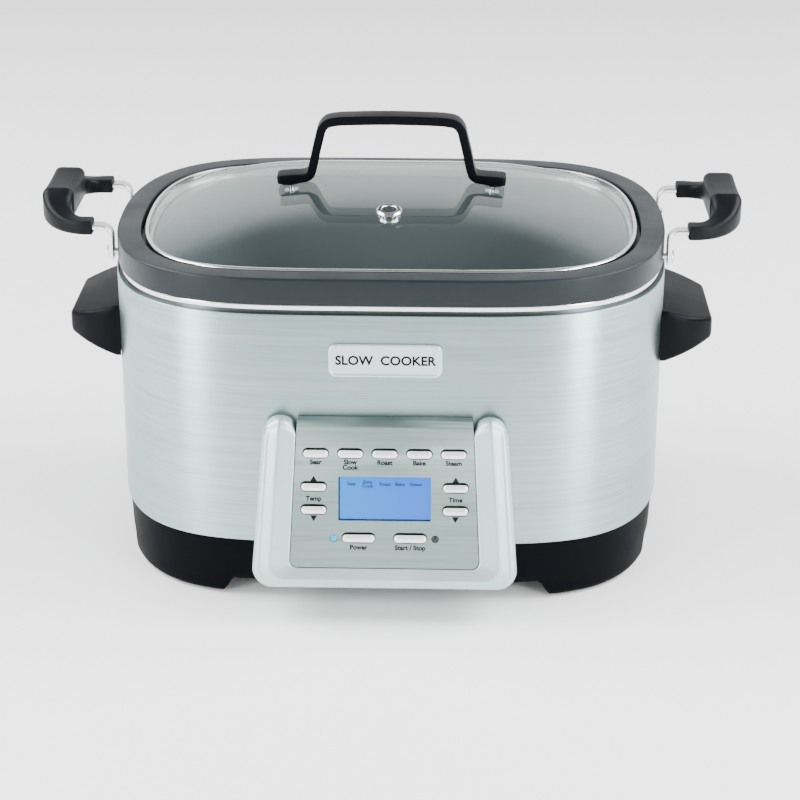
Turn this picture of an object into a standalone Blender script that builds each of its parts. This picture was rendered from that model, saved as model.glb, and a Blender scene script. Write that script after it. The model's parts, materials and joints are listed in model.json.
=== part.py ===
"""Countertop slow cooker: a lift-out cast pot with a domed glass lid, set in a brushed steel heating base.

Metres, +Z up, the front (with the control panel) faces -Y. z = 0 is the surface the feet stand on.
"""

import math

import bmesh
import bpy
from mathutils import Matrix, Vector

MM = 0.001

# ---- driving dimensions, in metres ------------------------------------------------------------

# Plan outline, shared by every piece that wraps round the cooker.
HALF_WIDTH = 186 * MM
HALF_DEPTH = 137 * MM
END_POWER = 4.67  # how square the long sides are
FRONT_POWER = 2.41  # how round the two ends are
OUTLINE_POINTS = 38

GAP = 0.3 * MM  # between pieces that rest on or fit in each other

# Heights
FOOT_CLEARANCE = 11 * MM  # under the base, between the feet
SHELL_BOTTOM = 43 * MM
RIM_TOP = 227.1 * MM
RIM_HEIGHT = 17.3 * MM
NECK_HEIGHT = 1.9 * MM  # of the collar, seen between the shell and the trim ring

# Housing
SHELL_STAND_OUT = 1.0 * MM  # shell's outer face outside the plan outline
SHELL_WALL = 1.0 * MM
BASE_WALL = 3.2 * MM
BASE_FLOOR = 4 * MM
BASE_TONGUE = 9 * MM  # how far the base reaches up inside the shell
BASE_SETBACK = 0.6 * MM
BASE_DRAFT = 1.2 * MM
ARCH_SLOPE = 6.5 * MM  # how far each foot's inner side leans
FOOT_LENGTH_X = 76 * MM
FOOT_LENGTH_Y = 70 * MM
PAD_RADIUS = 7.5 * MM
PAD_HEIGHT = 3.5 * MM
PAD_STAND_OUT = 0.8 * MM
COLLAR_DEPTH = 15 * MM
RING_WIDTH = 2.2 * MM
RING_HEIGHT = 4.0 * MM
RING_SETBACK = 1.2 * MM
WELL_SHEET = 0.8 * MM

# Pot
RIM_WIDTH = 16 * MM
RIM_SKIRT = 3.2 * MM
LEDGE_DROP = 7.6 * MM
LEDGE_WIDTH = 9 * MM
POT_DEPTH = 105.5 * MM
POT_WALL = 3.2 * MM
POT_FLOOR = 4 * MM
POT_TAPER = 7 * MM  # how far each wall leans in, top to bottom
POT_CLEARANCE = 3 * MM  # between the pot and the well round it

# Lid
LID_SIDE_GAP = 2.6 * MM
BAND_SHEET = 0.8 * MM
BAND_HEIGHT = 7.5 * MM
BAND_TOP_LIP = 2.6 * MM
BAND_FOOT_LIP = 5.5 * MM
GLASS_THICKNESS = 4 * MM
GLASS_RISE = 26.3 * MM
DOME_POWER = 2.6
HANDLE_FOOT_END = 77.5 * MM
HANDLE_FOOT_INNER = 58 * MM
HANDLE_RISE = 70.9 * MM  # of its top above the rim
HANDLE_DEPTH = 16 * MM
HANDLE_THICKNESS = 6 * MM
GASKET_THICKNESS = 1.2 * MM
SCREW_X = 69 * MM
SCREW_RADIUS = 2 * MM
SCREW_HEAD_RADIUS = 5 * MM
VENT_Y = -57 * MM
VENT_BORE = 5 * MM
VENT_WALL = 1.2 * MM
VENT_FLANGE = 8.6 * MM

# Pot handles
STRAP_WIDTH = 10 * MM
STRAP_THICKNESS = 3 * MM
STRAP_HALF_SPAN = 47 * MM
STRAP_RISE = 4.9 * MM  # of its level run above the rim
STRAP_STAND_OFF = 1.4 * MM
STRAP_BEND = 7 * MM
GRIP_STAND_OUT = 39.3 * MM  # centre line of the hand bar outside the outline's end
GRIP_CORNER = 22 * MM
GRIP_SLEEVE_START = 12.5 * MM  # the sleeve's mouth outside the outline's end
GRIP_ARM = (13 * MM, 9.6 * MM)  # width and height of the sleeve's arms
GRIP_BAR = (21 * MM, 22 * MM)  # width and height of its hand bar
GRIP_LIFT = 8 * MM  # of the hand bar's middle above the strap
GRIP_RISE_START = 0.15  # share of the corner where the sleeve starts to grow
RIVET_RADIUS = 2 * MM
RIVET_HEAD = 4.2 * MM

# Housing handles
SIDE_HANDLE_REACH = 33 * MM
SIDE_HANDLE_ROOT = 50 * MM  # half length at the shell
SIDE_HANDLE_TIP = 33 * MM  # half length at the outer end
SIDE_HANDLE_DROPS = (28.1 * MM, 37.4 * MM)  # of its top below the shell's top: at the shell, at the outer end
SIDE_HANDLE_HEIGHTS = (36.0 * MM, 14.4 * MM)
SIDE_HANDLE_WALL = 6.5 * MM

# Control panel, in a plane that leans out towards its foot
PANEL_LEAN = math.radians(11)
PANEL_FOOT = 24.622 * MM  # height of the frame's lower edge
PANEL_STAND_OUT = 10 * MM  # of the face in front of the outline, at its top
PLATE_LENGTH = 101 * MM
PLATE_TOP_HALF = 56.5 * MM
PLATE_FOOT_HALF = 61.7 * MM
PLATE_SHEET = 1.0 * MM
PLATE_SEAT = 1.5 * MM  # ledge of the frame that the plate lies on
PLATE_EDGE = 3 * MM  # drop of the rolled top edge
PLATE_CURL = 5 * MM  # radius of that roll
PLATE_REST = 0.5 * MM  # between the end of the roll and the shell
PLATE_CORNER = 5 * MM
BEZEL_TOP_RAIL = 22 * MM  # width of the frame beside the plate's top
BEZEL_FOOT_RAIL = 25.8 * MM  # and beside its foot
BEZEL_RISE = 2 * MM  # how far the frame's rails reach above the plate's top edge
BEZEL_SILL = 14.5 * MM  # width of the frame below the plate
BEZEL_CORNER = 13 * MM
BEZEL_RIDGE = 3.2 * MM  # how far the frame stands proud of the plate
BEZEL_SHOULDER = 4.5 * MM  # width of the frame's rounded outer edge
BUTTON = (16.4 * MM, 5.2 * MM)
WIDE_BUTTON = (21.2 * MM, 5.4 * MM)
BUTTON_CLEARANCE = 0.3 * MM
BUTTON_STAND_OUT = 1.2 * MM
BUTTON_DEPTH = 4 * MM
BUTTON_ROUNDING = 0.9 * MM
ROW_PITCH = 22.3 * MM
ROW_DROP = 25 * MM
ARROW_X = 46 * MM
ARROW_DROPS = (47.2 * MM, 62.5 * MM)
POWER_X = 16.8 * MM
POWER_DROP = 81.2 * MM
LED_X = 33 * MM
LED_RADIUS = 2.2 * MM
LED_STAND_OUT = 0.6 * MM
DISPLAY = (60 * MM, 29.4 * MM)
DISPLAY_DROP = 54.7 * MM
DISPLAY_LENS = 1.5 * MM
DISPLAY_RECESS = 0.9 * MM
MODULE_MARGIN = 2 * MM  # of the display module past its window
BOARD_DEPTH = 8.4 * MM
BOARD_DROPS = (18 * MM, 88 * MM)
BOARD_SHEET = 1.6 * MM

# Badge
BADGE = (73 * MM, 22.4 * MM)
BADGE_DROP = 30.1 * MM  # of its middle below the shell's top
BADGE_THICKNESS = 1.6 * MM
BADGE_CORNER = 5 * MM

# Inside
SENSOR_RADIUS = 8 * MM
SENSOR_CLEARANCE = 1 * MM
SENSOR_STEM = 3 * MM
HEATER_PLATE = (112 * MM, 70 * MM, 6 * MM)  # half length, half width, thickness
HEATER_CORNER = 30 * MM
TUBE_RADIUS = 3.2 * MM
TUBE_CLEARANCE = 2 * MM
SHIELD_LEVEL = 78 * MM
SHIELD_SHEET = 1.0 * MM
POWER_BOARD = (-60 * MM, -35 * MM, 60 * MM, 35 * MM)  # low x, low y, high x, high y
POST_RADIUS = 4.5 * MM
SCREW_SHANK = 1.6 * MM
SCREW_BITE = 12 * MM
BOARD_POST = 8 * MM
GLAND_LEVEL = 28 * MM
GLAND_BORE = 4 * MM
GLAND_RADIUS = 8.5 * MM
GLAND_REACH = 9 * MM
GLAND_LIP = 2 * MM  # of its flange past the hole
SLOT = (60 * MM, 3 * MM)  # vent slots in the base's floor
SLOT_COUNT = 5
SLOT_PITCH = 12 * MM

# ---- values worked out from them ---------------------------------------------------------------

BASE_CEILING = FOOT_CLEARANCE + BASE_FLOOR
RIM_BOTTOM = RIM_TOP - RIM_HEIGHT
RING_TOP = RIM_BOTTOM - GAP
RING_BOTTOM = RING_TOP - RING_HEIGHT
COLLAR_TOP = RING_BOTTOM - GAP
SHELL_TOP = COLLAR_TOP - NECK_HEIGHT
BADGE_HEIGHT = SHELL_TOP - BADGE_DROP
SIDE_HANDLE_TOP = tuple(SHELL_TOP - drop for drop in SIDE_HANDLE_DROPS)
SIDE_HANDLE_BOTTOM = tuple(top - height for top, height in zip(SIDE_HANDLE_TOP, SIDE_HANDLE_HEIGHTS))
STRAP_LEVEL = RIM_TOP + STRAP_RISE
STRAP_FOOT = RIM_BOTTOM - GAP
GRIP_REACH = HALF_WIDTH + GRIP_STAND_OUT
GRIP_START = HALF_WIDTH + GRIP_SLEEVE_START
HANDLE_TOP = RIM_TOP + HANDLE_RISE
BEZEL_TOP_HALF = PLATE_TOP_HALF + BEZEL_TOP_RAIL
BEZEL_FOOT_HALF = PLATE_FOOT_HALF + BEZEL_FOOT_RAIL
BEZEL_LENGTH = PLATE_LENGTH + BEZEL_SILL
LEDGE = RIM_TOP - LEDGE_DROP
POT_INNER = -(RIM_WIDTH + LEDGE_WIDTH)  # offset of the pot's inside wall at the ledge
POT_INSIDE_FLOOR = LEDGE - POT_DEPTH
POT_UNDERSIDE = POT_INSIDE_FLOOR - POT_FLOOR
BAND_OUTER = -(RIM_WIDTH + LID_SIDE_GAP)
BAND_BOTTOM = LEDGE + GAP
BAND_TOP = BAND_BOTTOM + BAND_HEIGHT
GLASS_EDGE = BAND_OUTER - BAND_SHEET - GAP
GLASS_EDGE_TOP = BAND_BOTTOM + BAND_SHEET + GAP + GLASS_THICKNESS
DOME_TOP = GLASS_EDGE_TOP + GLASS_RISE
HEATER_TOP = POT_UNDERSIDE - 0.6 * MM
WELL_FLOOR = HEATER_TOP - HEATER_PLATE[2] - 2 * TUBE_RADIUS - 2 * GAP
BODY_FRONT = -(HALF_DEPTH + SHELL_STAND_OUT)
LOWEST_FACE = BEZEL_LENGTH - BEZEL_SHOULDER
LEAN_SIN, LEAN_COS = math.sin(PANEL_LEAN), math.cos(PANEL_LEAN)
PANEL_TOP = PANEL_FOOT + BEZEL_LENGTH * LEAN_COS
PANEL_FACE_Y = -(HALF_DEPTH + PANEL_STAND_OUT)
FRONT_REACH = -PANEL_FACE_Y + LOWEST_FACE * LEAN_SIN + BEZEL_RIDGE * LEAN_COS
BACK_REACH = HALF_DEPTH - BASE_SETBACK + GLAND_REACH
FRAME_SHIFT = (FRONT_REACH - BACK_REACH) / 2


# ---- scene, materials and small helpers --------------------------------------------------------


def clear_scene():
    for old in list(bpy.data.objects):
        bpy.data.objects.remove(old, do_unlink=True)


def make_collection(name):
    found = bpy.data.collections.new(name)
    bpy.context.scene.collection.children.link(found)
    return found


def make_material(name, colour, roughness, metallic=0.0, alpha=1.0):
    material = bpy.data.materials.new(name)
    material.use_nodes = True
    shader = material.node_tree.nodes["Principled BSDF"]
    shader.inputs["Base Color"].default_value = (*colour, 1)
    shader.inputs["Roughness"].default_value = roughness
    shader.inputs["Metallic"].default_value = metallic
    shader.inputs["Alpha"].default_value = alpha
    material.diffuse_color = (*colour, alpha)
    return material


clear_scene()
PARTS = make_collection("slow_cooker")
CUTTERS = make_collection("cutters")
CUTTERS.hide_render = True

BRUSHED = make_material("brushed_steel", (0.66, 0.69, 0.69), 0.32, 1.0)
POLISHED = make_material("polished_steel", (0.80, 0.81, 0.81), 0.12, 1.0)
DARK_ENAMEL = make_material("grey_nonstick", (0.10, 0.12, 0.13), 0.45, 0.2)
BLACK_PLASTIC = make_material("black_plastic", (0.012, 0.013, 0.018), 0.5)
SOFT_BLACK = make_material("black_silicone", (0.03, 0.035, 0.045), 0.6)
SILVER_PLASTIC = make_material("silver_plastic", (0.62, 0.66, 0.66), 0.38, 0.4)
BUTTON_PLASTIC = make_material("button_plastic", (0.78, 0.80, 0.78), 0.4)
CLEAR_GLASS = make_material("clear_glass", (0.85, 0.92, 0.90), 0.03, 0.0, 0.3)
BLUE_SCREEN = make_material("blue_screen", (0.15, 0.42, 0.95), 0.3)
ALUMINIUM = make_material("aluminium", (0.70, 0.71, 0.72), 0.45, 1.0)
BOARD_GREEN = make_material("circuit_board", (0.03, 0.20, 0.09), 0.5)
LED_BLUE = make_material("led_blue", (0.10, 0.65, 0.95), 0.2)
LED_DARK = make_material("led_dark", (0.10, 0.14, 0.14), 0.25)

FRAME = bpy.data.objects.new("cooker_frame", None)
FRAME.location = (0, FRAME_SHIFT, 0)
PARTS.objects.link(FRAME)


def add_mesh(name, bm, material=None, smooth_angle=30):
    """Turns a bmesh into a part, or into a cutter where there is no material."""
    bmesh.ops.recalc_face_normals(bm, faces=bm.faces)
    mesh = bpy.data.meshes.new(name)
    bm.to_mesh(mesh)
    bm.free()
    obj = bpy.data.objects.new(name, mesh)
    if material:
        mesh.materials.append(material)
        mesh.shade_smooth()
        mesh.set_sharp_from_angle(angle=math.radians(smooth_angle))
        PARTS.objects.link(obj)
    else:
        obj.hide_render = True
        obj.display_type = "WIRE"
        CUTTERS.objects.link(obj)
    obj.parent = FRAME
    return obj


def boolean(obj, other, operation="DIFFERENCE"):
    step = obj.modifiers.new(f"{operation.lower()} {other.name}", "BOOLEAN")
    step.operation = operation
    step.object = other


def bridge(bm, rings, closed_section=True):
    """Quads between rings that hold the same number of vertices."""
    for first, second in zip(rings, rings[1:]):
        count = len(first)
        last = count if closed_section else count - 1
        for i in range(last):
            j = (i + 1) % count
            bm.faces.new((first[i], first[j], second[j], second[i]))


def loft(name, rings, material=None, loop=False):
    """A solid through rings of points: closed on itself with loop, otherwise capped at both ends."""
    bm = bmesh.new()
    made = [[bm.verts.new(point) for point in ring] for ring in rings]
    if loop:
        bridge(bm, made + [made[0]])
    else:
        bridge(bm, made)
        bm.faces.new(made[0])
        bm.faces.new(made[-1])
    return add_mesh(name, bm, material)


def cylinder(name, radius, start, end, material=None, segments=20):
    """A round bar between two points."""
    start, end = Vector(start), Vector(end)
    along = end - start
    turn = along.to_track_quat("Z", "Y").to_matrix().to_4x4()
    bm = bmesh.new()
    bmesh.ops.create_cone(
        bm,
        cap_ends=True,
        segments=segments,
        radius1=radius,
        radius2=radius,
        depth=along.length,
        matrix=Matrix.Translation((start + end) / 2) @ turn,
    )
    return add_mesh(name, bm, material)


def box(name, low, high, material=None):
    low, high = Vector(low), Vector(high)
    place = Matrix.Translation((low + high) / 2) @ Matrix.Diagonal((*(high - low), 1))
    bm = bmesh.new()
    bmesh.ops.create_cube(bm, size=1.0, matrix=place)
    return add_mesh(name, bm, material)


def turned(name, profile, material, base, axis, segments=28):
    """A Screw of a (radius, height) profile about an axis through base. It runs down the outer side."""
    bm = bmesh.new()
    made = [bm.verts.new((radius, 0, height)) for radius, height in profile]
    hollow = profile[0][0] > 0
    for first, second in zip(made, made[1:] + made[:1] if hollow else made[1:]):
        bm.edges.new((first, second))
    mesh = bpy.data.meshes.new(name)
    bm.to_mesh(mesh)
    bm.free()
    mesh.materials.append(material)
    obj = bpy.data.objects.new(name, mesh)
    PARTS.objects.link(obj)
    obj.parent = FRAME
    obj.location = base
    obj.rotation_mode = "QUATERNION"
    obj.rotation_quaternion = Vector(axis).to_track_quat("Z", "Y")
    spin = obj.modifiers.new("turn", "SCREW")
    spin.steps = spin.render_steps = segments
    spin.use_merge_vertices = True
    spin.merge_threshold = 0.01 * MM
    spin.use_smooth_shade = True
    return obj


# ---- the plan outline ---------------------------------------------------------------------------


def outline_point(angle):
    """The rim's outer edge: |x / half width| ^ END_POWER + |y / half depth| ^ FRONT_POWER = 1."""
    c, s = math.cos(angle), math.sin(angle)
    x = HALF_WIDTH * math.copysign(abs(c) ** (2 / END_POWER), c)
    y = HALF_DEPTH * math.copysign(abs(s) ** (2 / FRONT_POWER), s)
    return Vector((x, y))


def spaced_outline(count):
    """Points and outward normals round the outline, closer together where it bends more."""
    dense = [outline_point(2 * math.pi * i / 4000 + 1e-4) for i in range(4000)]
    reach = [0.0]
    for i in range(1, len(dense) + 1):
        before, here, after = dense[i - 2], dense[i - 1], dense[i % len(dense)]
        step = (after - here).length
        turn = (after - here).angle(here - before, 0.0)
        reach.append(reach[-1] + step / 0.9 + turn * 0.16)
    found, i = [], 0
    for k in range(count):
        wanted = reach[-1] * k / count
        while reach[i + 1] < wanted:
            i += 1
        here, after = dense[i % len(dense)], dense[(i + 1) % len(dense)]
        share = (wanted - reach[i]) / (reach[i + 1] - reach[i])
        found.append(here.lerp(after, share))
    placed = []
    for k, here in enumerate(found):
        along = (found[(k + 1) % count] - found[k - 1]).normalized()
        placed.append((here, Vector((along.y, -along.x))))
    return placed


OUTLINE = spaced_outline(OUTLINE_POINTS)


def ring_at(offset, z):
    """The outline moved outwards by offset, at height z."""
    return [Vector((*(here + normal * offset), z)) for here, normal in OUTLINE]


def wrap(name, profile, material=None, loop=True):
    """A piece that follows the plan outline, with a section of (offset, height) points."""
    return loft(name, [ring_at(offset, z) for offset, z in profile], material, loop)


# ---- housing ------------------------------------------------------------------------------------


def build_shell():
    outer, inner = SHELL_STAND_OUT, SHELL_STAND_OUT - SHELL_WALL
    lip = 0.4 * MM
    wrap(
        "outer_shell",
        [
            (outer, SHELL_BOTTOM),
            (outer, SHELL_TOP - lip),
            (outer - lip, SHELL_TOP),
            (inner, SHELL_TOP),
            (inner, SHELL_BOTTOM),
        ],
        BRUSHED,
    )


def foot_centres():
    """Where the rubber pads sit under the four corner feet."""
    x = HALF_WIDTH - FOOT_LENGTH_X + 18 * MM
    y = HALF_DEPTH - 42 * MM
    return [(-x, -y), (x, -y), (-x, y), (x, y)]


def build_base():
    inner = -(BASE_SETBACK + BASE_WALL)
    ceiling = BASE_CEILING
    above = ceiling + 5 * MM
    top = SHELL_BOTTOM + BASE_TONGUE
    outer_low = -(BASE_SETBACK + BASE_DRAFT)
    ground = PAD_STAND_OUT
    tray = wrap(
        "base_tray",
        [
            (inner - 12 * MM, ceiling),
            (inner, ceiling + 2 * MM),
            (inner, top),
            (-BASE_SETBACK, top),
            (-BASE_SETBACK, SHELL_BOTTOM),
            (outer_low, ground + 5 * MM),
            (outer_low - 1.4 * MM, ground + 1.4 * MM),
            (outer_low - 4.2 * MM, ground),
        ],
        BLACK_PLASTIC,
        loop=False,
    )
    reach = HALF_WIDTH + 30 * MM
    arch_x, arch_y = HALF_WIDTH - FOOT_LENGTH_X, HALF_DEPTH - FOOT_LENGTH_Y
    for name, span, long_way in (("front_arch", arch_x, 1), ("side_arch", arch_y, 0)):
        arch = [
            (-span, -5 * MM),
            (-span, ground),
            (-span + ARCH_SLOPE, FOOT_CLEARANCE),
            (span - ARCH_SLOPE, FOOT_CLEARANCE),
            (span, ground),
            (span, -5 * MM),
        ]
        ends = []
        for side in (-reach, reach):
            ends.append([(u, side, z) if long_way else (side, u, z) for u, z in arch])
        boolean(tray, loft(f"{name}_cutter", ends))
    pad_top = ground + PAD_HEIGHT - PAD_STAND_OUT
    for i, (x, y) in enumerate(foot_centres(), 1):
        pocket = cylinder(f"pad_pocket_{i}", PAD_RADIUS + GAP, (x, y, -5 * MM), (x, y, pad_top + GAP))
        boolean(tray, pocket)
        cylinder(f"foot_pad_{i}", PAD_RADIUS, (x, y, 0), (x, y, pad_top), SOFT_BLACK)
    for i, (x, y) in enumerate(screw_centres(), 1):
        bore = SCREW_SHANK + GAP
        boolean(tray, cylinder(f"base_screw_hole_{i}", bore, (x, y, 0), (x, y, above), segments=12))
        build_base_screw(i, x, y)
    half_x, half_y = SLOT[0] / 2, SLOT[1] / 2
    for i in range(SLOT_COUNT):
        y = (i - (SLOT_COUNT - 1) / 2) * SLOT_PITCH
        boolean(tray, box(f"vent_slot_{i}", (-half_x, y - half_y, 0), (half_x, y + half_y, above)))
    start = (0, HALF_DEPTH - 20 * MM, GLAND_LEVEL)
    end = (0, HALF_DEPTH + 20 * MM, GLAND_LEVEL)
    boolean(tray, cylinder("gland_hole", GLAND_RADIUS - GLAND_LIP, start, end))
    return tray


def screw_centres():
    x, y = HALF_WIDTH * 0.4, HALF_DEPTH * 0.55
    return [(-x, -y), (x, -y), (-x, y), (x, y)]


def build_base_screw(i, x, y):
    head, shank, top = 3.5 * MM, SCREW_SHANK, FOOT_CLEARANCE - GAP
    length = BASE_FLOOR + SCREW_BITE
    turned(
        f"base_screw_{i}",
        [
            (0, length),
            (shank, length),
            (shank, 0),
            (head, 0),
            (head * 0.85, -2 * MM),
            (0, -2.4 * MM),
        ],
        ALUMINIUM,
        (x, y, top),
        (0, 0, 1),
        segments=12,
    )


def build_collar():
    outer, neck = SHELL_STAND_OUT - SHELL_WALL - GAP, -(RING_SETBACK + 1.3 * MM)
    shoulder = SHELL_TOP - 1 * MM
    wrap(
        "top_collar",
        [
            (outer, shoulder - COLLAR_DEPTH),
            (outer, shoulder),
            (neck, shoulder),
            (neck, COLLAR_TOP),
            (-12 * MM, COLLAR_TOP),
            (-12 * MM, COLLAR_TOP - 3 * MM),
            (outer - 3.4 * MM, COLLAR_TOP - 5 * MM),
            (outer - 3.4 * MM, shoulder - COLLAR_DEPTH),
        ],
        BRUSHED,
    )


def build_trim_ring():
    outer, inner, round_off = -RING_SETBACK, -(RING_SETBACK + RING_WIDTH), 0.6 * MM
    wrap(
        "trim_ring",
        [
            (outer, RING_BOTTOM),
            (outer, RING_TOP - round_off),
            (outer - round_off, RING_TOP),
            (inner, RING_TOP),
            (inner, RING_BOTTOM),
        ],
        POLISHED,
    )


def well_inner(z):
    """Offset of the well's inside wall at height z: the pot's outside plus the clearance."""
    share = (LEDGE - z) / POT_DEPTH
    return POT_INNER + POT_WALL + POT_CLEARANCE - POT_TAPER * min(share, 1.0)


def build_well():
    flange_top = RING_BOTTOM + WELL_SHEET
    flange_end = -(RING_SETBACK + RING_WIDTH + GAP)
    low = WELL_FLOOR + 9 * MM
    sheet = WELL_SHEET
    inside = [(well_inner(low) - 11 * MM, WELL_FLOOR), (well_inner(low) - 3 * MM, WELL_FLOOR + 3 * MM)]
    inside += [(well_inner(low), low), (well_inner(flange_top), flange_top)]
    under = flange_top - sheet
    outside = [(flange_end, flange_top), (flange_end, under), (well_inner(under) + sheet, under)]
    outside += [(well_inner(low) + sheet, low), (well_inner(low) - 2.4 * MM, WELL_FLOOR + 2.2 * MM)]
    outside += [(well_inner(low) - 11 * MM, WELL_FLOOR - sheet)]
    well = wrap("heating_well", inside + outside, ALUMINIUM, loop=False)
    below, above = WELL_FLOOR - 9 * MM, WELL_FLOOR + 9 * MM
    boolean(well, cylinder("well_sensor_hole", SENSOR_RADIUS + SENSOR_CLEARANCE, (0, 0, below), (0, 0, above)))
    for side in (-1, 1):
        x, y = tube_terminal(side)
        bore = TUBE_RADIUS + TUBE_CLEARANCE
        boolean(well, cylinder(f"terminal_hole_{side + 2}", bore, (x, y, below), (x, y, above), segments=14))


def rounded_rectangle(half_x, half_y, radius, steps=5):
    """Corner points of a rectangle with round corners, counter-clockwise."""
    found = []
    for quarter, (sx, sy) in enumerate(((1, 1), (-1, 1), (-1, -1), (1, -1))):
        for k in range(steps + 1):
            angle = math.pi / 2 * (quarter + k / steps)
            x = sx * (half_x - radius) + radius * math.cos(angle)
            y = sy * (half_y - radius) + radius * math.sin(angle)
            found.append((x, y))
    return found


def prism(name, outline, place, low, high, material=None, top_inset=0.0):
    """A flat outline raised from low to high, each point set in space by place(u, v, height)."""
    centre_u = sum(u for u, _ in outline) / len(outline)
    centre_v = sum(v for _, v in outline) / len(outline)
    rings = [[place(u, v, low) for u, v in outline]]
    if top_inset:
        rings.append([place(u, v, high - top_inset) for u, v in outline])
        share_u = 1 - top_inset / max(abs(u - centre_u) for u, _ in outline)
        share_v = 1 - top_inset / max(abs(v - centre_v) for _, v in outline)
        shrunk = [((u - centre_u) * share_u, (v - centre_v) * share_v) for u, v in outline]
        outline = [(centre_u + u, centre_v + v) for u, v in shrunk]
    rings.append([place(u, v, high) for u, v in outline])
    return loft(name, rings, material)


def upright(u, v, height):
    return Vector((u, v, height))


def tube_terminal(side):
    """Where the heating tube turns down through the well's floor."""
    return HEATER_PLATE[0] * 0.16 * side, -HEATER_PLATE[1] * 0.66


def build_heater():
    half_x, half_y, thickness = HEATER_PLATE
    outline = rounded_rectangle(half_x, half_y, HEATER_CORNER)
    plate = prism("heater_plate", outline, upright, HEATER_TOP - thickness, HEATER_TOP, ALUMINIUM)
    below, above = HEATER_TOP - 20 * MM, HEATER_TOP + 9 * MM
    bore = SENSOR_RADIUS + SENSOR_CLEARANCE
    boolean(plate, cylinder("plate_sensor_hole", bore, (0, 0, below), (0, 0, above)))
    level = WELL_FLOOR + GAP + TUBE_RADIUS
    loop_x, loop_y = half_x * 0.72, half_y * 0.66
    corners = rounded_rectangle(loop_x, loop_y, 26 * MM, steps=6)
    (x, y), foot = tube_terminal(1), level - 22 * MM
    entry = [(x, y, foot), (x, y, level - 5 * MM), (x + 1.5 * MM, y, level - 1.5 * MM), (x + 4 * MM, y, level)]
    turn = corners.index(min(corners, key=lambda p: (round(p[1], 6), -p[0])))
    ordered = corners[turn:] + corners[:turn]
    exit_way = [(-x, y, z) for x, y, z in reversed(entry)]
    path = entry + [(x, y, level) for x, y in ordered] + exit_way
    tube("heating_tube", path, TUBE_RADIUS, ALUMINIUM)


def tube(name, path, radius, material, roundness=2):
    """A wire or tube along points."""
    curve = bpy.data.curves.new(name, "CURVE")
    curve.dimensions = "3D"
    curve.bevel_depth = radius
    curve.bevel_resolution = roundness
    curve.use_fill_caps = True
    spline = curve.splines.new("POLY")
    spline.points.add(len(path) - 1)
    for point, at in zip(spline.points, path):
        point.co = (*at, 1)
    curve.materials.append(material)
    obj = bpy.data.objects.new(name, curve)
    PARTS.objects.link(obj)
    obj.parent = FRAME
    return obj


def build_sensor():
    """A sprung probe that touches the pot's underside."""
    top, stem = HEATER_TOP, SENSOR_STEM
    head_height = 9 * MM
    foot = SHIELD_LEVEL - 10 * MM
    turned(
        "temperature_probe",
        [
            (0, top),
            (SENSOR_RADIUS - 1 * MM, top),
            (SENSOR_RADIUS, top - 1 * MM),
            (SENSOR_RADIUS, top - head_height),
            (stem, top - head_height),
            (stem, foot),
            (0, foot),
        ],
        ALUMINIUM,
        (0, 0, 0),
        (0, 0, 1),
        segments=20,
    )
    wire, turns, per_turn = 0.5 * MM, 4, 8
    low = SHIELD_LEVEL + SHIELD_SHEET + GAP + wire
    high = top - head_height - GAP - wire
    coil = []
    for i in range(turns * per_turn + 1):
        angle = 2 * math.pi * i / per_turn
        height = low + (high - low) * i / (turns * per_turn)
        coil.append(((stem + 1.6 * MM) * math.cos(angle), (stem + 1.6 * MM) * math.sin(angle), height))
    tube("probe_spring", coil, wire, POLISHED, roundness=0)


def build_shield():
    edge, sheet = -14 * MM, SHIELD_SHEET
    shield = wrap(
        "heat_shield",
        [
            (edge - 8 * MM, SHIELD_LEVEL + sheet),
            (edge - sheet, SHIELD_LEVEL + sheet + 2 * MM),
            (edge - sheet, SHIELD_LEVEL + 10 * MM),
            (edge, SHIELD_LEVEL + 10 * MM),
            (edge, SHIELD_LEVEL + 1.4 * MM),
            (edge - 7.5 * MM, SHIELD_LEVEL),
        ],
        ALUMINIUM,
        loop=False,
    )
    for i, (x, y) in enumerate(screw_centres(), 1):
        foot = BASE_CEILING + GAP
        head = SHIELD_LEVEL + 0.5 * sheet
        post = cylinder(f"shield_post_{i}", POST_RADIUS, (x, y, foot), (x, y, head), segments=12)
        boolean(shield, post, "UNION")
        bore = cylinder(f"post_bore_{i}", SCREW_SHANK + GAP, (x, y, 0), (x, y, foot + SCREW_BITE), segments=12)
        boolean(shield, bore)
    below, above = SHIELD_LEVEL - 9 * MM, SHIELD_LEVEL + 9 * MM
    boolean(shield, cylinder("shield_hole", SENSOR_STEM + GAP, (0, 0, below), (0, 0, above), segments=16))
    for side in (-1, 1):
        x, y = tube_terminal(side)
        bore = TUBE_RADIUS + TUBE_CLEARANCE
        hole = cylinder(f"shield_terminal_{side + 2}", bore, (x, y, below), (x, y, above), segments=14)
        boolean(shield, hole)


def board_corners():
    low_x, low_y, high_x, high_y = POWER_BOARD
    edge = 5 * MM
    return [(x, y) for x in (low_x + edge, high_x - edge) for y in (low_y + edge, high_y - edge)]


def build_power_board(tray):
    low_x, low_y, high_x, high_y = POWER_BOARD
    floor = BASE_CEILING
    level = floor + BOARD_POST
    for i, (x, y) in enumerate(board_corners(), 1):
        post = cylinder(f"board_post_{i}", 3 * MM, (x, y, floor - 2 * MM), (x, y, level - GAP), segments=10)
        boolean(tray, post, "UNION")
    box("power_board", (low_x, low_y, level), (high_x, high_y, level + BOARD_SHEET), BOARD_GREEN)


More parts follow.
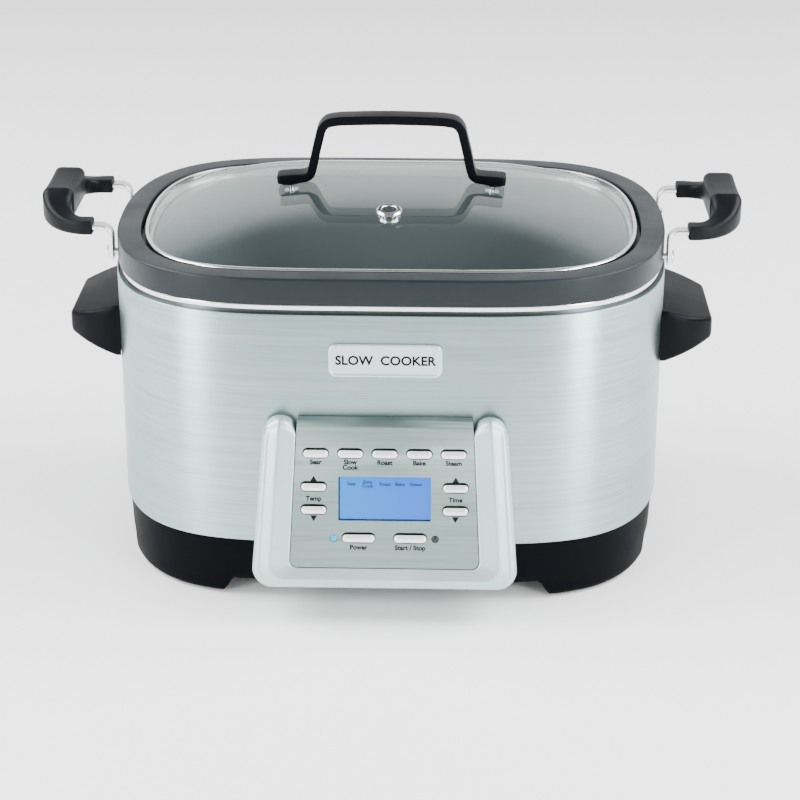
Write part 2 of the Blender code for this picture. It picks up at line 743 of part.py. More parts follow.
def build_gland():
    """The cord's entry at the back: a flanged bush with an open bore, without the cord."""
    outer_face = HALF_DEPTH - BASE_SETBACK
    bush = GLAND_RADIUS - GLAND_LIP - GAP
    inside = -(BASE_WALL + 4 * MM)
    turned(
        "cord_gland",
        [
            (GLAND_BORE, GLAND_REACH),
            (GLAND_BORE + 1.6 * MM, GLAND_REACH),
            (bush, 2.5 * MM),
            (GLAND_RADIUS, 2.5 * MM),
            (GLAND_RADIUS, 0.8 * MM),
            (bush, 0.8 * MM),
            (bush, inside),
            (GLAND_BORE, inside),
        ],
        BLACK_PLASTIC,
        (0, outer_face, GLAND_LEVEL),
        (0, 1, 0),
    )


def build_badge():
    front = BODY_FRONT - GAP
    outline = rounded_rectangle(BADGE[0] / 2, BADGE[1] / 2, BADGE_CORNER)

    def facing(u, v, height):
        return Vector((u, front - height, BADGE_HEIGHT + v))

    prism("badge_plate", outline, facing, 0, BADGE_THICKNESS, SILVER_PLASTIC, top_inset=0.5 * MM)


def build_side_handle(side):
    """A hollow grip under a sloping top. Its sections run outwards from inside the shell's line."""
    name = "left" if side < 0 else "right"
    root = HALF_WIDTH + SHELL_STAND_OUT
    chamfer = 2.5 * MM
    rings = []
    shares = (-0.35, 0.0, 0.3, 0.55, 0.75, 0.9, 0.97, 1.0)
    for share in shares:
        outward = max(share, 0.0)
        x = root + SIDE_HANDLE_REACH * share
        half = SIDE_HANDLE_ROOT - (SIDE_HANDLE_ROOT - SIDE_HANDLE_TIP) * outward**2.2
        high = SIDE_HANDLE_TOP[0] + (SIDE_HANDLE_TOP[1] - SIDE_HANDLE_TOP[0]) * outward
        low = SIDE_HANDLE_BOTTOM[0] + (SIDE_HANDLE_BOTTOM[1] - SIDE_HANDLE_BOTTOM[0]) * outward
        if share >= 1.0:
            half, high, low = half - 1.5 * MM, high - 1 * MM, low + 1 * MM
        section = []
        for quarter, (sy, z) in enumerate(((1, high), (-1, high), (-1, low), (1, low))):
            for k in range(3):
                angle = math.pi / 2 * (quarter + k / 2)
                inward = chamfer if z == high else -chamfer
                y = sy * (half - chamfer) + chamfer * math.cos(angle)
                section.append((side * x, y, z - inward + chamfer * math.sin(angle)))
        rings.append(section)
    handle = loft(f"side_handle_{name}", rings, BLACK_PLASTIC)
    near, far = root + SIDE_HANDLE_WALL, root + SIDE_HANDLE_REACH - SIDE_HANDLE_WALL
    half = SIDE_HANDLE_TIP - 3 * MM
    ceiling = SIDE_HANDLE_TOP[1] - SIDE_HANDLE_WALL
    low, high = sorted((side * near, side * far))
    pocket = box(f"finger_pocket_{name}", (low, -half, SIDE_HANDLE_BOTTOM[0] - 20 * MM), (high, half, ceiling))
    boolean(handle, pocket)
    boolean(handle, HOUSING_CUTTER)


# ---- control panel ------------------------------------------------------------------------------


def on_panel(u, drop, height):
    """A point on the leaning face: u to the right, drop down from its top edge, height out of it."""
    y = PANEL_FACE_Y - drop * LEAN_SIN - height * LEAN_COS
    z = PANEL_TOP - drop * LEAN_COS + height * LEAN_SIN
    return Vector((u, y, z))


def stadium(width, height, centre_u, centre_v, steps=6):
    radius = height / 2
    found = []
    for side in (1, -1):
        for k in range(steps + 1):
            angle = math.pi * k / steps - math.pi / 2
            u = side * (width / 2 - radius + radius * math.cos(angle))
            found.append((centre_u + u, centre_v + side * radius * math.sin(angle)))
    return found


def buttons():
    """Every push button: its name, place on the face and size."""
    found = []
    names = ("sear", "slow_cook", "roast", "bake", "steam")
    for i, name in enumerate(names):
        found.append((f"button_{name}", (i - 2) * ROW_PITCH, ROW_DROP, BUTTON))
    for side, what in ((-1, "temp"), (1, "time")):
        for way, drop in zip(("up", "down"), ARROW_DROPS):
            found.append((f"button_{what}_{way}", side * ARROW_X, drop, BUTTON))
    found.append(("button_power", -POWER_X, POWER_DROP, WIDE_BUTTON))
    found.append(("button_start_stop", POWER_X, POWER_DROP, WIDE_BUTTON))
    return found


def panel_half(drop, top_half, foot_half, length):
    return top_half + (foot_half - top_half) * drop / length


def bezel_outline(inset=0.0):
    """The frame's outer edge in the panel's plane, with round corners, counter-clockwise from the top right."""
    top, foot = PLATE_EDGE - BEZEL_RISE + inset, BEZEL_LENGTH - inset
    half_top = BEZEL_TOP_HALF - inset
    half_foot = BEZEL_FOOT_HALF - inset
    radius = max(BEZEL_CORNER - inset, 2 * MM)
    found = []
    corners = ((1, top, half_top), (-1, top, half_top), (-1, foot, half_foot), (1, foot, half_foot))
    for quarter, (side, drop, half) in enumerate(corners):
        inward = radius if drop == top else -radius
        for k in range(6):
            angle = math.pi / 2 * (quarter + k / 5)
            u = side * (half - radius) + radius * math.cos(angle)
            found.append((u, drop + inward - radius * math.sin(angle)))
    return found


def plate_outline(grow):
    """The face plate's sides and foot, widened by grow, carried up past the frame's top."""
    slope = (PLATE_FOOT_HALF - PLATE_TOP_HALF) / PLATE_LENGTH
    top = -BEZEL_RISE - 30 * MM
    high = PLATE_TOP_HALF + grow + slope * top
    low = PLATE_FOOT_HALF + grow
    radius = PLATE_CORNER + grow
    found = [(high, top), (-high, top)]
    for side in (-1, 1):
        for k in range(5):
            angle = math.pi / 8 * (k if side < 0 else 4 - k)
            along, down = radius * (1 - math.cos(angle)), radius * (1 - math.sin(angle))
            found.append((side * (low - along), PLATE_LENGTH + grow - down))
    return found


def build_bezel():
    depth = 60 * MM
    layers = ((0.0, -depth), (0.0, -1.5 * MM), (1.2 * MM, 1.0 * MM), (BEZEL_SHOULDER, BEZEL_RIDGE))
    rings = [[on_panel(u, drop, height) for u, drop in bezel_outline(inset)] for inset, height in layers]
    bezel = loft("control_bezel", rings, SILVER_PLASTIC)
    recess = prism("plate_recess", plate_outline(GAP), on_panel, -PLATE_SHEET - GAP, 20 * MM)
    boolean(bezel, recess)
    top_half, foot_half = PLATE_TOP_HALF - PLATE_SEAT, PLATE_FOOT_HALF - PLATE_SEAT
    foot = PLATE_LENGTH - PLATE_SEAT
    above = -40 * MM
    cavity = [(top_half, above), (-top_half, above), (-top_half, 0)]
    cavity += [(-foot_half, foot), (foot_half, foot), (top_half, 0)]
    boolean(bezel, prism("bezel_cavity", cavity, on_panel, -2 * depth, 5 * MM))
    notch_half = PLATE_TOP_HALF + GAP
    notch_foot = PLATE_EDGE + PLATE_CURL + PLATE_SEAT
    notch = [(notch_half, above), (-notch_half, above), (-notch_half, notch_foot), (notch_half, notch_foot)]
    boolean(bezel, prism("bezel_notch", notch, on_panel, -2 * depth, 20 * MM))
    boolean(bezel, HOUSING_CUTTER)


def build_face_plate():
    """A sheet with round foot corners and a top edge that rolls over and runs level back to the shell."""
    corner = PLATE_CORNER
    line = []
    for k in range(5):
        angle = math.pi / 2 * k / 4
        line.append((PLATE_LENGTH - corner * (1 - math.cos(angle)), 0.0, corner * (1 - math.sin(angle))))
    for k in range(6):
        angle = (math.pi / 2 - PANEL_LEAN) * k / 5
        drop = PLATE_EDGE + PLATE_CURL * (1 - math.sin(angle))
        line.append((drop, -PLATE_CURL * (1 - math.cos(angle)), 0.0))
    drop, height, _ = line[-1]
    run = BODY_FRONT - PLATE_REST - on_panel(0, drop, height).y
    line.append((drop - run * LEAN_SIN, height - run * LEAN_COS, 0.0))
    rings = []
    for i, (drop, height, narrower) in enumerate(line):
        half = panel_half(drop, PLATE_TOP_HALF, PLATE_FOOT_HALF, PLATE_LENGTH) - narrower
        before = line[max(i - 1, 0)]
        after = line[min(i + 1, len(line) - 1)]
        way = Vector((after[0] - before[0], after[1] - before[1])).normalized()
        inner = (drop - way.y * PLATE_SHEET, height + way.x * PLATE_SHEET)
        corners = ((half, drop, height), (-half, drop, height), (-half, *inner), (half, *inner))
        rings.append([on_panel(u, v, h) for u, v, h in corners])
    plate = loft("face_plate", rings, BRUSHED)
    for name, u, drop, size in buttons():
        hole = stadium(size[0] + 2 * BUTTON_CLEARANCE, size[1] + 2 * BUTTON_CLEARANCE, u, drop)
        boolean(plate, prism(f"hole_{name}", hole, on_panel, -5 * MM, 5 * MM))
    window = rounded_rectangle(DISPLAY[0] / 2, DISPLAY[1] / 2, 0.8 * MM, steps=2)
    window = [(u, DISPLAY_DROP - v) for u, v in window]
    boolean(plate, prism("hole_display", window, on_panel, -5 * MM, 5 * MM))
    for side in (-1, 1):
        start, end = on_panel(side * LED_X, POWER_DROP, -5 * MM), on_panel(side * LED_X, POWER_DROP, 5 * MM)
        boolean(plate, cylinder(f"hole_led_{side + 2}", LED_RADIUS + GAP, start, end, segments=16))


def build_buttons():
    def facing(u, v, height):
        return Vector((u, -v, height))

    for name, u, drop, size in buttons():
        outline = stadium(*size, 0, 0)
        cap = prism(name, outline, facing, -BUTTON_DEPTH, BUTTON_STAND_OUT, BUTTON_PLASTIC, BUTTON_ROUNDING)
        cap.location = on_panel(u, drop, 0)
        cap.rotation_euler = (math.pi / 2 - PANEL_LEAN, 0, 0)


def build_display():
    half_u, half_v = DISPLAY[0] / 2 - GAP, DISPLAY[1] / 2 - GAP
    lens_back = -DISPLAY_RECESS - DISPLAY_LENS
    board_front = GAP - BOARD_DEPTH

    def screen(margin, corner):
        outline = rounded_rectangle(half_u + margin, half_v + margin, corner, steps=2)
        return [(u, DISPLAY_DROP - v) for u, v in outline]

    prism("display_window", screen(0, 0.6 * MM), on_panel, lens_back, -DISPLAY_RECESS, CLEAR_GLASS)
    prism("display_module", screen(MODULE_MARGIN, 1 * MM), on_panel, board_front, lens_back - GAP, BLUE_SCREEN)
    half = PLATE_TOP_HALF - PLATE_SEAT - GAP
    top, foot = BOARD_DROPS
    board = [(half, top), (-half, top), (-half, foot), (half, foot)]
    prism("control_board", board, on_panel, -BOARD_DEPTH - BOARD_SHEET, -BOARD_DEPTH, BOARD_GREEN)
    for side, name, material in ((-1, "led_power", LED_BLUE), (1, "led_start", LED_DARK)):
        back = on_panel(side * LED_X, POWER_DROP, board_front)
        front = on_panel(side * LED_X, POWER_DROP, LED_STAND_OUT)
        cylinder(name, LED_RADIUS, back, front, material, segments=16)


# ---- pot ----------------------------------------------------------------------------------------


def build_pot():
    round_off = 1.5 * MM
    inner_top, inner_low = POT_INNER, POT_INNER - POT_TAPER
    floor, under = POT_INSIDE_FLOOR, POT_UNDERSIDE
    outer_top, outer_low = POT_INNER + POT_WALL, POT_INNER + POT_WALL - POT_TAPER
    ledge_under = LEDGE - POT_FLOOR
    pot = wrap(
        "cooking_pot",
        [
            (inner_low - 16 * MM, floor),
            (inner_low - 5 * MM, floor + 4 * MM),
            (inner_low, floor + 16 * MM),
            (inner_top - 1 * MM, LEDGE - 1.5 * MM),
            (inner_top + 0.6 * MM, LEDGE),
            (-RIM_WIDTH, LEDGE),
            (-RIM_WIDTH, RIM_TOP - 1 * MM),
            (-RIM_WIDTH + 1 * MM, RIM_TOP),
            (-round_off, RIM_TOP),
            (0, RIM_TOP - round_off),
            (0, RIM_BOTTOM),
            (-RIM_SKIRT, RIM_BOTTOM),
            (-RIM_SKIRT, ledge_under),
            (outer_top, ledge_under),
            (outer_low, floor + 14 * MM),
            (outer_low - 4 * MM, under + 4 * MM),
            (outer_low - 14 * MM, under),
        ],
        DARK_ENAMEL,
        loop=False,
    )
    for side in (-1, 1):
        for end in (-1, 1):
            start, finish = rivet_line(side, end)
            hole = cylinder(f"rivet_hole_{side + 2}_{end + 2}", RIVET_RADIUS + GAP, start, finish, segments=14)
            boolean(pot, hole)


def rim_x(y):
    """The rim's half width at a distance y from the middle."""
    return HALF_WIDTH * (1 - abs(y / HALF_DEPTH) ** FRONT_POWER) ** (1 / END_POWER)


STRAP_FACE = rim_x(STRAP_HALF_SPAN - STRAP_WIDTH / 2) + STRAP_STAND_OFF
RIVET_LEVEL = STRAP_FOOT + STRAP_WIDTH / 2


def rivet_line(side, end):
    """From inside the rim's skirt to just outside the strap."""
    inside = rim_x(STRAP_HALF_SPAN) - RIM_SKIRT - 4 * MM
    outside = STRAP_FACE + STRAP_THICKNESS + GAP
    y = end * STRAP_HALF_SPAN
    return (side * inside, y, RIVET_LEVEL), (side * outside, y, RIVET_LEVEL)


def strap_path():
    """Half of the strap's centre line, from its foot to the middle of the hand bar: (place, width way)."""
    x, y = STRAP_FACE + STRAP_THICKNESS / 2, STRAP_HALF_SPAN
    across = Vector((0, 1, 0))
    found = [(Vector((x, y, STRAP_FOOT)), across)]
    for k in range(6):
        angle = math.pi - math.pi / 2 * k / 5
        run, rise = STRAP_BEND * (1 + math.cos(angle)), STRAP_BEND * (math.sin(angle) - 1)
        found.append((Vector((x + run, y, STRAP_LEVEL + rise)), across))
    return found + grip_path()


def grip_path():
    """The level part of that line inside the sleeve: the arm, the corner and half of the bar."""
    y = STRAP_HALF_SPAN
    found = [(Vector((GRIP_START, y, STRAP_LEVEL)), Vector((0, 1, 0)))]
    centre_x, centre_y = GRIP_REACH - GRIP_CORNER, y - GRIP_CORNER
    for k in range(7):
        angle = math.pi / 2 - math.pi / 2 * k / 6
        way = Vector((math.cos(angle), math.sin(angle), 0))
        found.append((Vector((centre_x, centre_y, STRAP_LEVEL)) + way * GRIP_CORNER, way))
    found.append((Vector((GRIP_REACH, 0, STRAP_LEVEL)), Vector((1, 0, 0))))
    return found


def mirrored(half):
    """A half line carried on through its mirror image in Y, and the width way with it."""
    other = [(Vector((at.x, -at.y, at.z)), Vector((way.x, -way.y, 0))) for at, way in reversed(half[:-1])]
    return half + other


def strap_rings(side, width, thickness, path):
    rings = []
    for i, (at, way) in enumerate(path):
        before, after = path[max(i - 1, 0)][0], path[min(i + 1, len(path) - 1)][0]
        along = (after - before).normalized()
        up = way.cross(along).normalized()
        ring = []
        for sw, st in ((1, 1), (-1, 1), (-1, -1), (1, -1)):
            point = at + way * (sw * width / 2) + up * (st * thickness / 2)
            ring.append((side * point.x, point.y, point.z))
        rings.append(ring)
    return rings


def build_pot_handle(side):
    name = "left" if side < 0 else "right"
    path = mirrored(strap_path())
    strap = loft(f"pot_strap_{name}", strap_rings(side, STRAP_WIDTH, STRAP_THICKNESS, path), POLISHED)
    for end in (-1, 1):
        start, finish = rivet_line(side, end)
        boolean(strap, cylinder(f"strap_hole_{name}_{end + 2}", RIVET_RADIUS + GAP, start, finish, segments=14))
        build_rivet(side, end, name)
    build_grip(side, name)


def build_rivet(side, end, name):
    start, finish = rivet_line(side, end)
    inside, outside = Vector(start), Vector(finish)
    length = (outside - inside).length
    inner_head = 2 * MM
    head_face = -GAP
    y_name = "front" if end < 0 else "back"
    turned(
        f"pot_rivet_{name}_{y_name}",
        [
            (0, length - inner_head + 1.2 * MM),
            (RIVET_RADIUS, length - inner_head + 1.2 * MM),
            (RIVET_RADIUS, head_face),
            (RIVET_HEAD, head_face),
            (RIVET_HEAD * 0.8, head_face - 1.2 * MM),
            (0, head_face - 1.6 * MM),
        ],
        POLISHED,
        outside,
        inside - outside,
        segments=14,
    )


def grip_section(share):
    """Width, height and lift of the sleeve: share is 0 along the arms and 1 along the hand bar."""
    grown = max(share - GRIP_RISE_START, 0.0) / (1 - GRIP_RISE_START)
    ease = grown**1.7
    width = GRIP_ARM[0] + (GRIP_BAR[0] - GRIP_ARM[0]) * ease
    height = GRIP_ARM[1] + (GRIP_BAR[1] - GRIP_ARM[1]) * ease
    return width, height, GRIP_LIFT * ease


def build_grip(side, name):
    half = grip_path()
    lengths = [0.0]
    for (first, _), (second, _) in zip(half, half[1:]):
        lengths.append(lengths[-1] + (second - first).length)
    corner_start, corner_end = lengths[1], lengths[-2]
    bar = half[-2][0].lerp(half[-1][0], 0.3)
    half = half[:-1] + [(bar, half[-1][1]), half[-1]]
    corner = corner_end - corner_start
    shares = [min(max((s - corner_start) / corner, 0.0), 1.0) for s in lengths[:-1]] + [1.0, 1.0]
    full = mirrored(half)
    full_shares = shares + shares[:-1][::-1]
    rings = []
    for (at, way), share in zip(full, full_shares):
        width, height, lift = grip_section(share)
        chamfer = 0.28 * min(width, height)
        ring = []
        for quarter, (sw, sz) in enumerate(((1, 1), (-1, 1), (-1, -1), (1, -1))):
            for k in range(3):
                angle = math.pi / 2 * (quarter + k / 2)
                w = sw * (width / 2 - chamfer) + chamfer * math.cos(angle)
                z = sz * (height / 2 - chamfer) + chamfer * math.sin(angle) + lift
                point = at + way * w
                ring.append((side * point.x, point.y, point.z + z))
        rings.append(ring)
    grip = loft(f"pot_grip_{name}", rings, SOFT_BLACK)
    mouth = (Vector((GRIP_START - 5 * MM, STRAP_HALF_SPAN, STRAP_LEVEL)), Vector((0, 1, 0)))
    core = mirrored([mouth] + grip_path())
    width, thickness = STRAP_WIDTH + 2 * GAP, STRAP_THICKNESS + 2 * GAP
    boolean(grip, loft(f"grip_core_{name}", strap_rings(side, width, thickness, core)))


# ---- lid ----------------------------------------------------------------------------------------


def glass_outline():
    return [here + normal * GLASS_EDGE for here, normal in OUTLINE]


def dome_height(share):
    """Height of the glass's top at a share of the way from its middle to its edge."""
    return DOME_TOP - GLASS_RISE * share**DOME_POWER


def dome_tilt(distance, half):
    """How steeply the glass falls away at that distance along an axis."""
    share = distance / half
    return math.atan(GLASS_RISE * DOME_POWER * share ** (DOME_POWER - 1) / half)


VENT_TILT = dome_tilt(-VENT_Y, HALF_DEPTH + GLASS_EDGE)
VENT_AXIS = Vector((0, -math.sin(VENT_TILT), math.cos(VENT_TILT)))
FOOT_TILT = dome_tilt(SCREW_X, HALF_WIDTH + GLASS_EDGE)


def build_glass():
    edge = glass_outline()
    shares = (0.05, 0.25, SCREW_X / (HALF_WIDTH + GLASS_EDGE), 0.55, 0.7, 0.85, 1.0)
    top = [[(p.x * s, p.y * s, dome_height(s)) for p in edge] for s in shares]
    under = [[(x, y, z - GLASS_THICKNESS) for x, y, z in ring] for ring in reversed(top)]
    glass = loft("lid_glass", top + under, CLEAR_GLASS)
    centre = vent_centre()
    reach = VENT_AXIS * 20 * MM
    bore = VENT_BORE + VENT_WALL + GAP
    boolean(glass, cylinder("vent_hole", bore, centre - reach, centre + reach, segments=28))
    for side in (-1, 1):
        base, axis = screw_line(side)
        reach = axis * 12 * MM
        bore = SCREW_RADIUS + GAP
        boolean(glass, cylinder(f"glass_screw_hole_{side + 2}", bore, base - reach, base + reach, segments=14))


def vent_centre():
    """The middle of the glass's thickness where the steam vent goes through."""
    share = -VENT_Y / (HALF_DEPTH + GLASS_EDGE)
    return Vector((0, VENT_Y, dome_height(share) - GLASS_THICKNESS / 2))


def screw_line(side):
    """The top of the glass under a handle foot, and the way the foot's screw points."""
    share = SCREW_X / (HALF_WIDTH + GLASS_EDGE)
    base = Vector((side * SCREW_X, 0, dome_height(share)))
    return base, Vector((side * math.sin(FOOT_TILT), 0, math.cos(FOOT_TILT)))


def build_band():
    outer, sheet = BAND_OUTER, BAND_SHEET
    round_off = 0.5 * MM
    wrap(
        "lid_band",
        [
            (outer, BAND_BOTTOM),
            (outer, BAND_TOP - round_off),
            (outer - round_off, BAND_TOP),
            (outer - BAND_TOP_LIP, BAND_TOP),
            (outer - BAND_TOP_LIP, BAND_TOP - sheet),
            (outer - sheet, BAND_TOP - sheet),
            (outer - sheet, BAND_BOTTOM + sheet),
            (outer - BAND_FOOT_LIP, BAND_BOTTOM + sheet),
            (outer - BAND_FOOT_LIP, BAND_BOTTOM),
        ],
        POLISHED,
    )


def build_vent():
    reach = GLASS_THICKNESS / 2 + 1.3 * MM
    seat = GLASS_THICKNESS / 2 + 0.5 * MM
    barrel = VENT_BORE + VENT_WALL
    turned(
        "steam_vent",
        [
            (VENT_BORE, reach - 0.5 * MM),
            (VENT_BORE + 1.4 * MM, reach + 0.8 * MM),
            (VENT_FLANGE - 1.2 * MM, reach),
            (VENT_FLANGE, seat),
            (barrel, seat),
            (barrel, -seat),
            (VENT_FLANGE - 1 * MM, -seat),
            (VENT_FLANGE - 1.6 * MM, -reach),
            (VENT_BORE, -reach),
        ],
        POLISHED,
        vent_centre(),
        VENT_AXIS,
        segments=32,
    )


def handle_path():
    """Right half of the handle's centre line in the X-Z plane, from the foot's end to the top's middle."""
    base, axis = screw_line(1)
    along = Vector((-axis.z, 0, axis.x))
    centre = base + axis * (GASKET_THICKNESS + 2 * GAP + HANDLE_THICKNESS / 2)
    foot_end = centre - along * (HANDLE_FOOT_END - SCREW_X)
    toe = centre + along * (SCREW_X - HANDLE_FOOT_INNER)
    found = [foot_end, foot_end.lerp(toe, 0.5), toe]
    heel = Vector((53.5 * MM, 0, toe.z + 7 * MM))
    found.append(Vector((55.0 * MM, 0, toe.z + 2.6 * MM)))
    found.append(heel)
    top_corner = Vector((48.5 * MM, 0, HANDLE_TOP - 14 * MM))
    found.append(top_corner)
    corner_radius = 9 * MM
    crown = HANDLE_TOP - HANDLE_THICKNESS / 2
    for k in range(1, 5):
        angle = math.radians(8 + 74 * k / 4)
        x = top_corner.x - corner_radius * (1 - math.cos(angle))
        z = top_corner.z + (crown - 1.6 * MM - top_corner.z) * math.sin(angle) / math.sin(math.radians(82))
        found.append(Vector((x, 0, z)))
    start = found[-1]
    for k in range(1, 4):
        share = k / 3
        z = start.z + (crown - start.z) * math.sin(share * math.pi / 2)
        found.append(Vector((start.x * (1 - share), 0, z)))
    return found


def build_lid_handle():
    half = handle_path()
    line = half + [Vector((-p.x, 0, p.z)) for p in reversed(half[:-1])]
    chamfer = 1.2 * MM
    rings = []
    for i, at in enumerate(line):
        before, after = line[max(i - 1, 0)], line[min(i + 1, len(line) - 1)]
        along = (after - before).normalized()
        up = Vector((0, 1, 0)).cross(along).normalized()
        half_w, half_t = HANDLE_DEPTH / 2, HANDLE_THICKNESS / 2
        ring = []
        quarter = [(half_w - chamfer, half_t), (half_w, half_t - chamfer)]
        corners = [(-w, t) for w, t in quarter] + [(-w, -t) for w, t in reversed(quarter)]
        corners += [(w, -t) for w, t in quarter] + [(w, t) for w, t in reversed(quarter)]
        for w, t in corners:
            ring.append(at + Vector((0, 1, 0)) * w + up * t)
        rings.append(ring)
    handle = loft("lid_handle", rings, BLACK_PLASTIC)
    for side in (-1, 1):
        base, axis = screw_line(side)
        name = "left" if side < 0 else "right"
        lift = base + axis * (GASKET_THICKNESS + GAP)
        bite = HANDLE_THICKNESS * 0.7
        bore = SCREW_RADIUS + GAP
        boolean(handle, cylinder(f"handle_screw_hole_{name}", bore, base, lift + axis * bite, segments=14))
        head = 2.2 * MM
        under = GLASS_THICKNESS + GAP
        turned(
            f"lid_screw_{name}",
            [
                (0, GASKET_THICKNESS + bite - GAP),
                (SCREW_RADIUS, GASKET_THICKNESS + bite - GAP),
                (SCREW_RADIUS, -under),
                (SCREW_HEAD_RADIUS, -under),
                (SCREW_HEAD_RADIUS * 0.8, -under - head),
                (0, -under - head * 1.1),
            ],
            POLISHED,
            base,
            axis,
            segments=16,
        )
        turned(
            f"handle_gasket_{name}",
            [
                (SCREW_RADIUS + GAP, GASKET_THICKNESS + GAP),
                (7 * MM, GASKET_THICKNESS + GAP),
                (7 * MM, GAP),
                (SCREW_RADIUS + GAP, GAP),
            ],
            SOFT_BLACK,
            base,
            axis,
            segments=20,
        )


# ---- everything ---------------------------------------------------------------------------------


def build_housing_cutter():
    """The housing's outside, grown by the gap: what leans on the housing is cut back to it."""
    return wrap(
        "housing_cutter",
        [
            (SHELL_STAND_OUT + GAP, 0),
            (SHELL_STAND_OUT + GAP, SHELL_TOP + 20 * MM),
        ],
        None,
        loop=False,
    )


HOUSING_CUTTER = build_housing_cutter()
build_shell()
base = build_base()
build_collar()
build_trim_ring()
build_well()
build_heater()
build_sensor()
build_shield()
build_power_board(base)
build_gland()
build_badge()
build_bezel()
build_face_plate()
build_buttons()
build_display()
build_pot()
build_glass()
build_band()
build_vent()
build_lid_handle()
for handle_side in (-1, 1):
    build_side_handle(handle_side)
    build_pot_handle(handle_side)
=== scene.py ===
import json
import math
import bmesh
import bpy
import numpy as np
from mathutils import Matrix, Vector


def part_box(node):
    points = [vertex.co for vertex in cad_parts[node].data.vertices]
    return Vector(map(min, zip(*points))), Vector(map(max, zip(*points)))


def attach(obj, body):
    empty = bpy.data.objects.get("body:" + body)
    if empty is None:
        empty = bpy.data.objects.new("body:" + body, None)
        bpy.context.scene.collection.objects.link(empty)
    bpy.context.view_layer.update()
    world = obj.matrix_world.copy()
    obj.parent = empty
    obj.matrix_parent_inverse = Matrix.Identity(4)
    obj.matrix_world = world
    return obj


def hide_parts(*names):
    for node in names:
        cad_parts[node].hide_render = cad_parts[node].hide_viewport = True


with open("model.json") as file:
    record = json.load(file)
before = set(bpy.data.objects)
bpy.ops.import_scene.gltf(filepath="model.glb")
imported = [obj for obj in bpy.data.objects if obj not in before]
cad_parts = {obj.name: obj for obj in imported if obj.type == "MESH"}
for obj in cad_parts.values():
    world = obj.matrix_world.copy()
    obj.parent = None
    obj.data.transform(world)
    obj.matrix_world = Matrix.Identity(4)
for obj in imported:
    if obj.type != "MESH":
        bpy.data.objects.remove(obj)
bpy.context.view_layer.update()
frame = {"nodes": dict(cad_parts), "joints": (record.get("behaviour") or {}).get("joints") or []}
nodes = frame["nodes"]
mm = 0.001

# what the whole cooker shares: its plan outline, and the panel's lean
potLow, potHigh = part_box("cooking_pot")
centreY = (potHigh.y + potLow.y) / 2
plan = dict(
    halfWidth=(potHigh.x - potLow.x) / 2,
    halfDepth=(potHigh.y - potLow.y) / 2,
    endPower=4.67,
    frontPower=2.41,
    points=400,
)
buttonJoint = next(joint for joint in frame["joints"] if joint["name"] == "button_power_press")
panel = dict(
    sine=-buttonJoint["axis"][2],
    cosine=buttonJoint["axis"][1],
    topZ=138 * mm,
    faceY=centreY - plan["halfDepth"] - 10 * mm,
)


def unit(vectors):
    return vectors / np.linalg.norm(vectors, axis=-1, keepdims=True)


def pack(*parts):
    # coordinates side by side; a single value is repeated to match the others
    return np.stack(np.broadcast_arrays(*parts), -1)


def travelled(line):
    # the length of a line up to each of its points
    return np.concatenate([[0], np.cumsum(np.linalg.norm(np.diff(line, axis=0), axis=1))])


def pointsAt(line, wanted):
    # the points of a line at these lengths along it
    reach = travelled(line)
    return pack(*(np.interp(wanted, reach, line[:, i]) for i in range(line.shape[1])))


def planOutline(points):
    # |x / half width| ^ end power + |y / half depth| ^ front power = 1, stepped evenly along its length
    angle = np.linspace(0, 2 * np.pi, 20001) + 1e-5
    halves = np.array([plan["halfWidth"], plan["halfDepth"]])
    powers = np.array([plan["endPower"], plan["frontPower"]])
    spoke = pack(np.cos(angle), np.sin(angle))
    line = halves * np.sign(spoke) * np.abs(spoke) ** (2 / powers)
    line = pointsAt(line, np.linspace(0, travelled(line)[-1], points, endpoint=False))
    return line, unit(np.sign(line) * np.abs(line / halves) ** (powers - 1) * powers / halves)


outlineAt, outlineNormal = planOutline(plan["points"])


def ringsOf(profile):
    # each (offset, height) of the profile becomes the plan outline moved out by offset, at that height
    profile = np.asarray(profile, float)
    flat = outlineAt[None] + outlineNormal[None] * profile[:, :1, None]
    return pack(flat[..., 0], flat[..., 1] + centreY, profile[:, 1:])


def rounded(corners, radii, steps=5, closed=True):
    # every corner with a radius, in mm, becomes an arc that touches both of its edges
    corners, radii = np.asarray(corners, float), np.asarray(radii, float) * mm
    found = []
    for i, (here, radius) in enumerate(zip(corners, radii)):
        if not radius or (not closed and i in (0, len(corners) - 1)):
            found.append(here[None])
            continue
        back, on = unit(corners[i - 1] - here), unit(corners[(i + 1) % len(corners)] - here)
        half = math.acos(np.clip(back @ on, -1, 1)) / 2
        centre = here + unit(back + on) * radius / math.sin(half)
        start, end = (here + way * radius / math.tan(half) - centre for way in (back, on))
        swing = math.pi - 2 * half
        share = np.linspace(0, 1, steps + 1)[:, None]
        arc = np.sin((1 - share) * swing) * start + np.sin(share * swing) * end
        found.append(centre + arc / math.sin(swing))
    return np.concatenate(found)


def linked(name, data):
    made = bpy.data.objects.new(name, data)
    bpy.context.scene.collection.objects.link(made)
    return made


def meshPiece(name, points, faces, finish, sharp=32):
    # a mesh with doubles merged, faces outwards, and edges kept sharp past an angle
    mesh = bpy.data.meshes.new(name)
    mesh.from_pydata(np.asarray(points).tolist(), [], faces)
    work = bmesh.new()
    work.from_mesh(mesh)
    bmesh.ops.remove_doubles(work, verts=work.verts, dist=1e-7)
    bmesh.ops.dissolve_degenerate(work, edges=work.edges, dist=1e-7)
    bmesh.ops.recalc_face_normals(work, faces=work.faces)
    work.to_mesh(mesh)
    work.free()
    mesh.materials.append(finish)
    mesh.shade_smooth()
    mesh.set_sharp_from_angle(angle=math.radians(sharp))
    return linked(name, mesh)


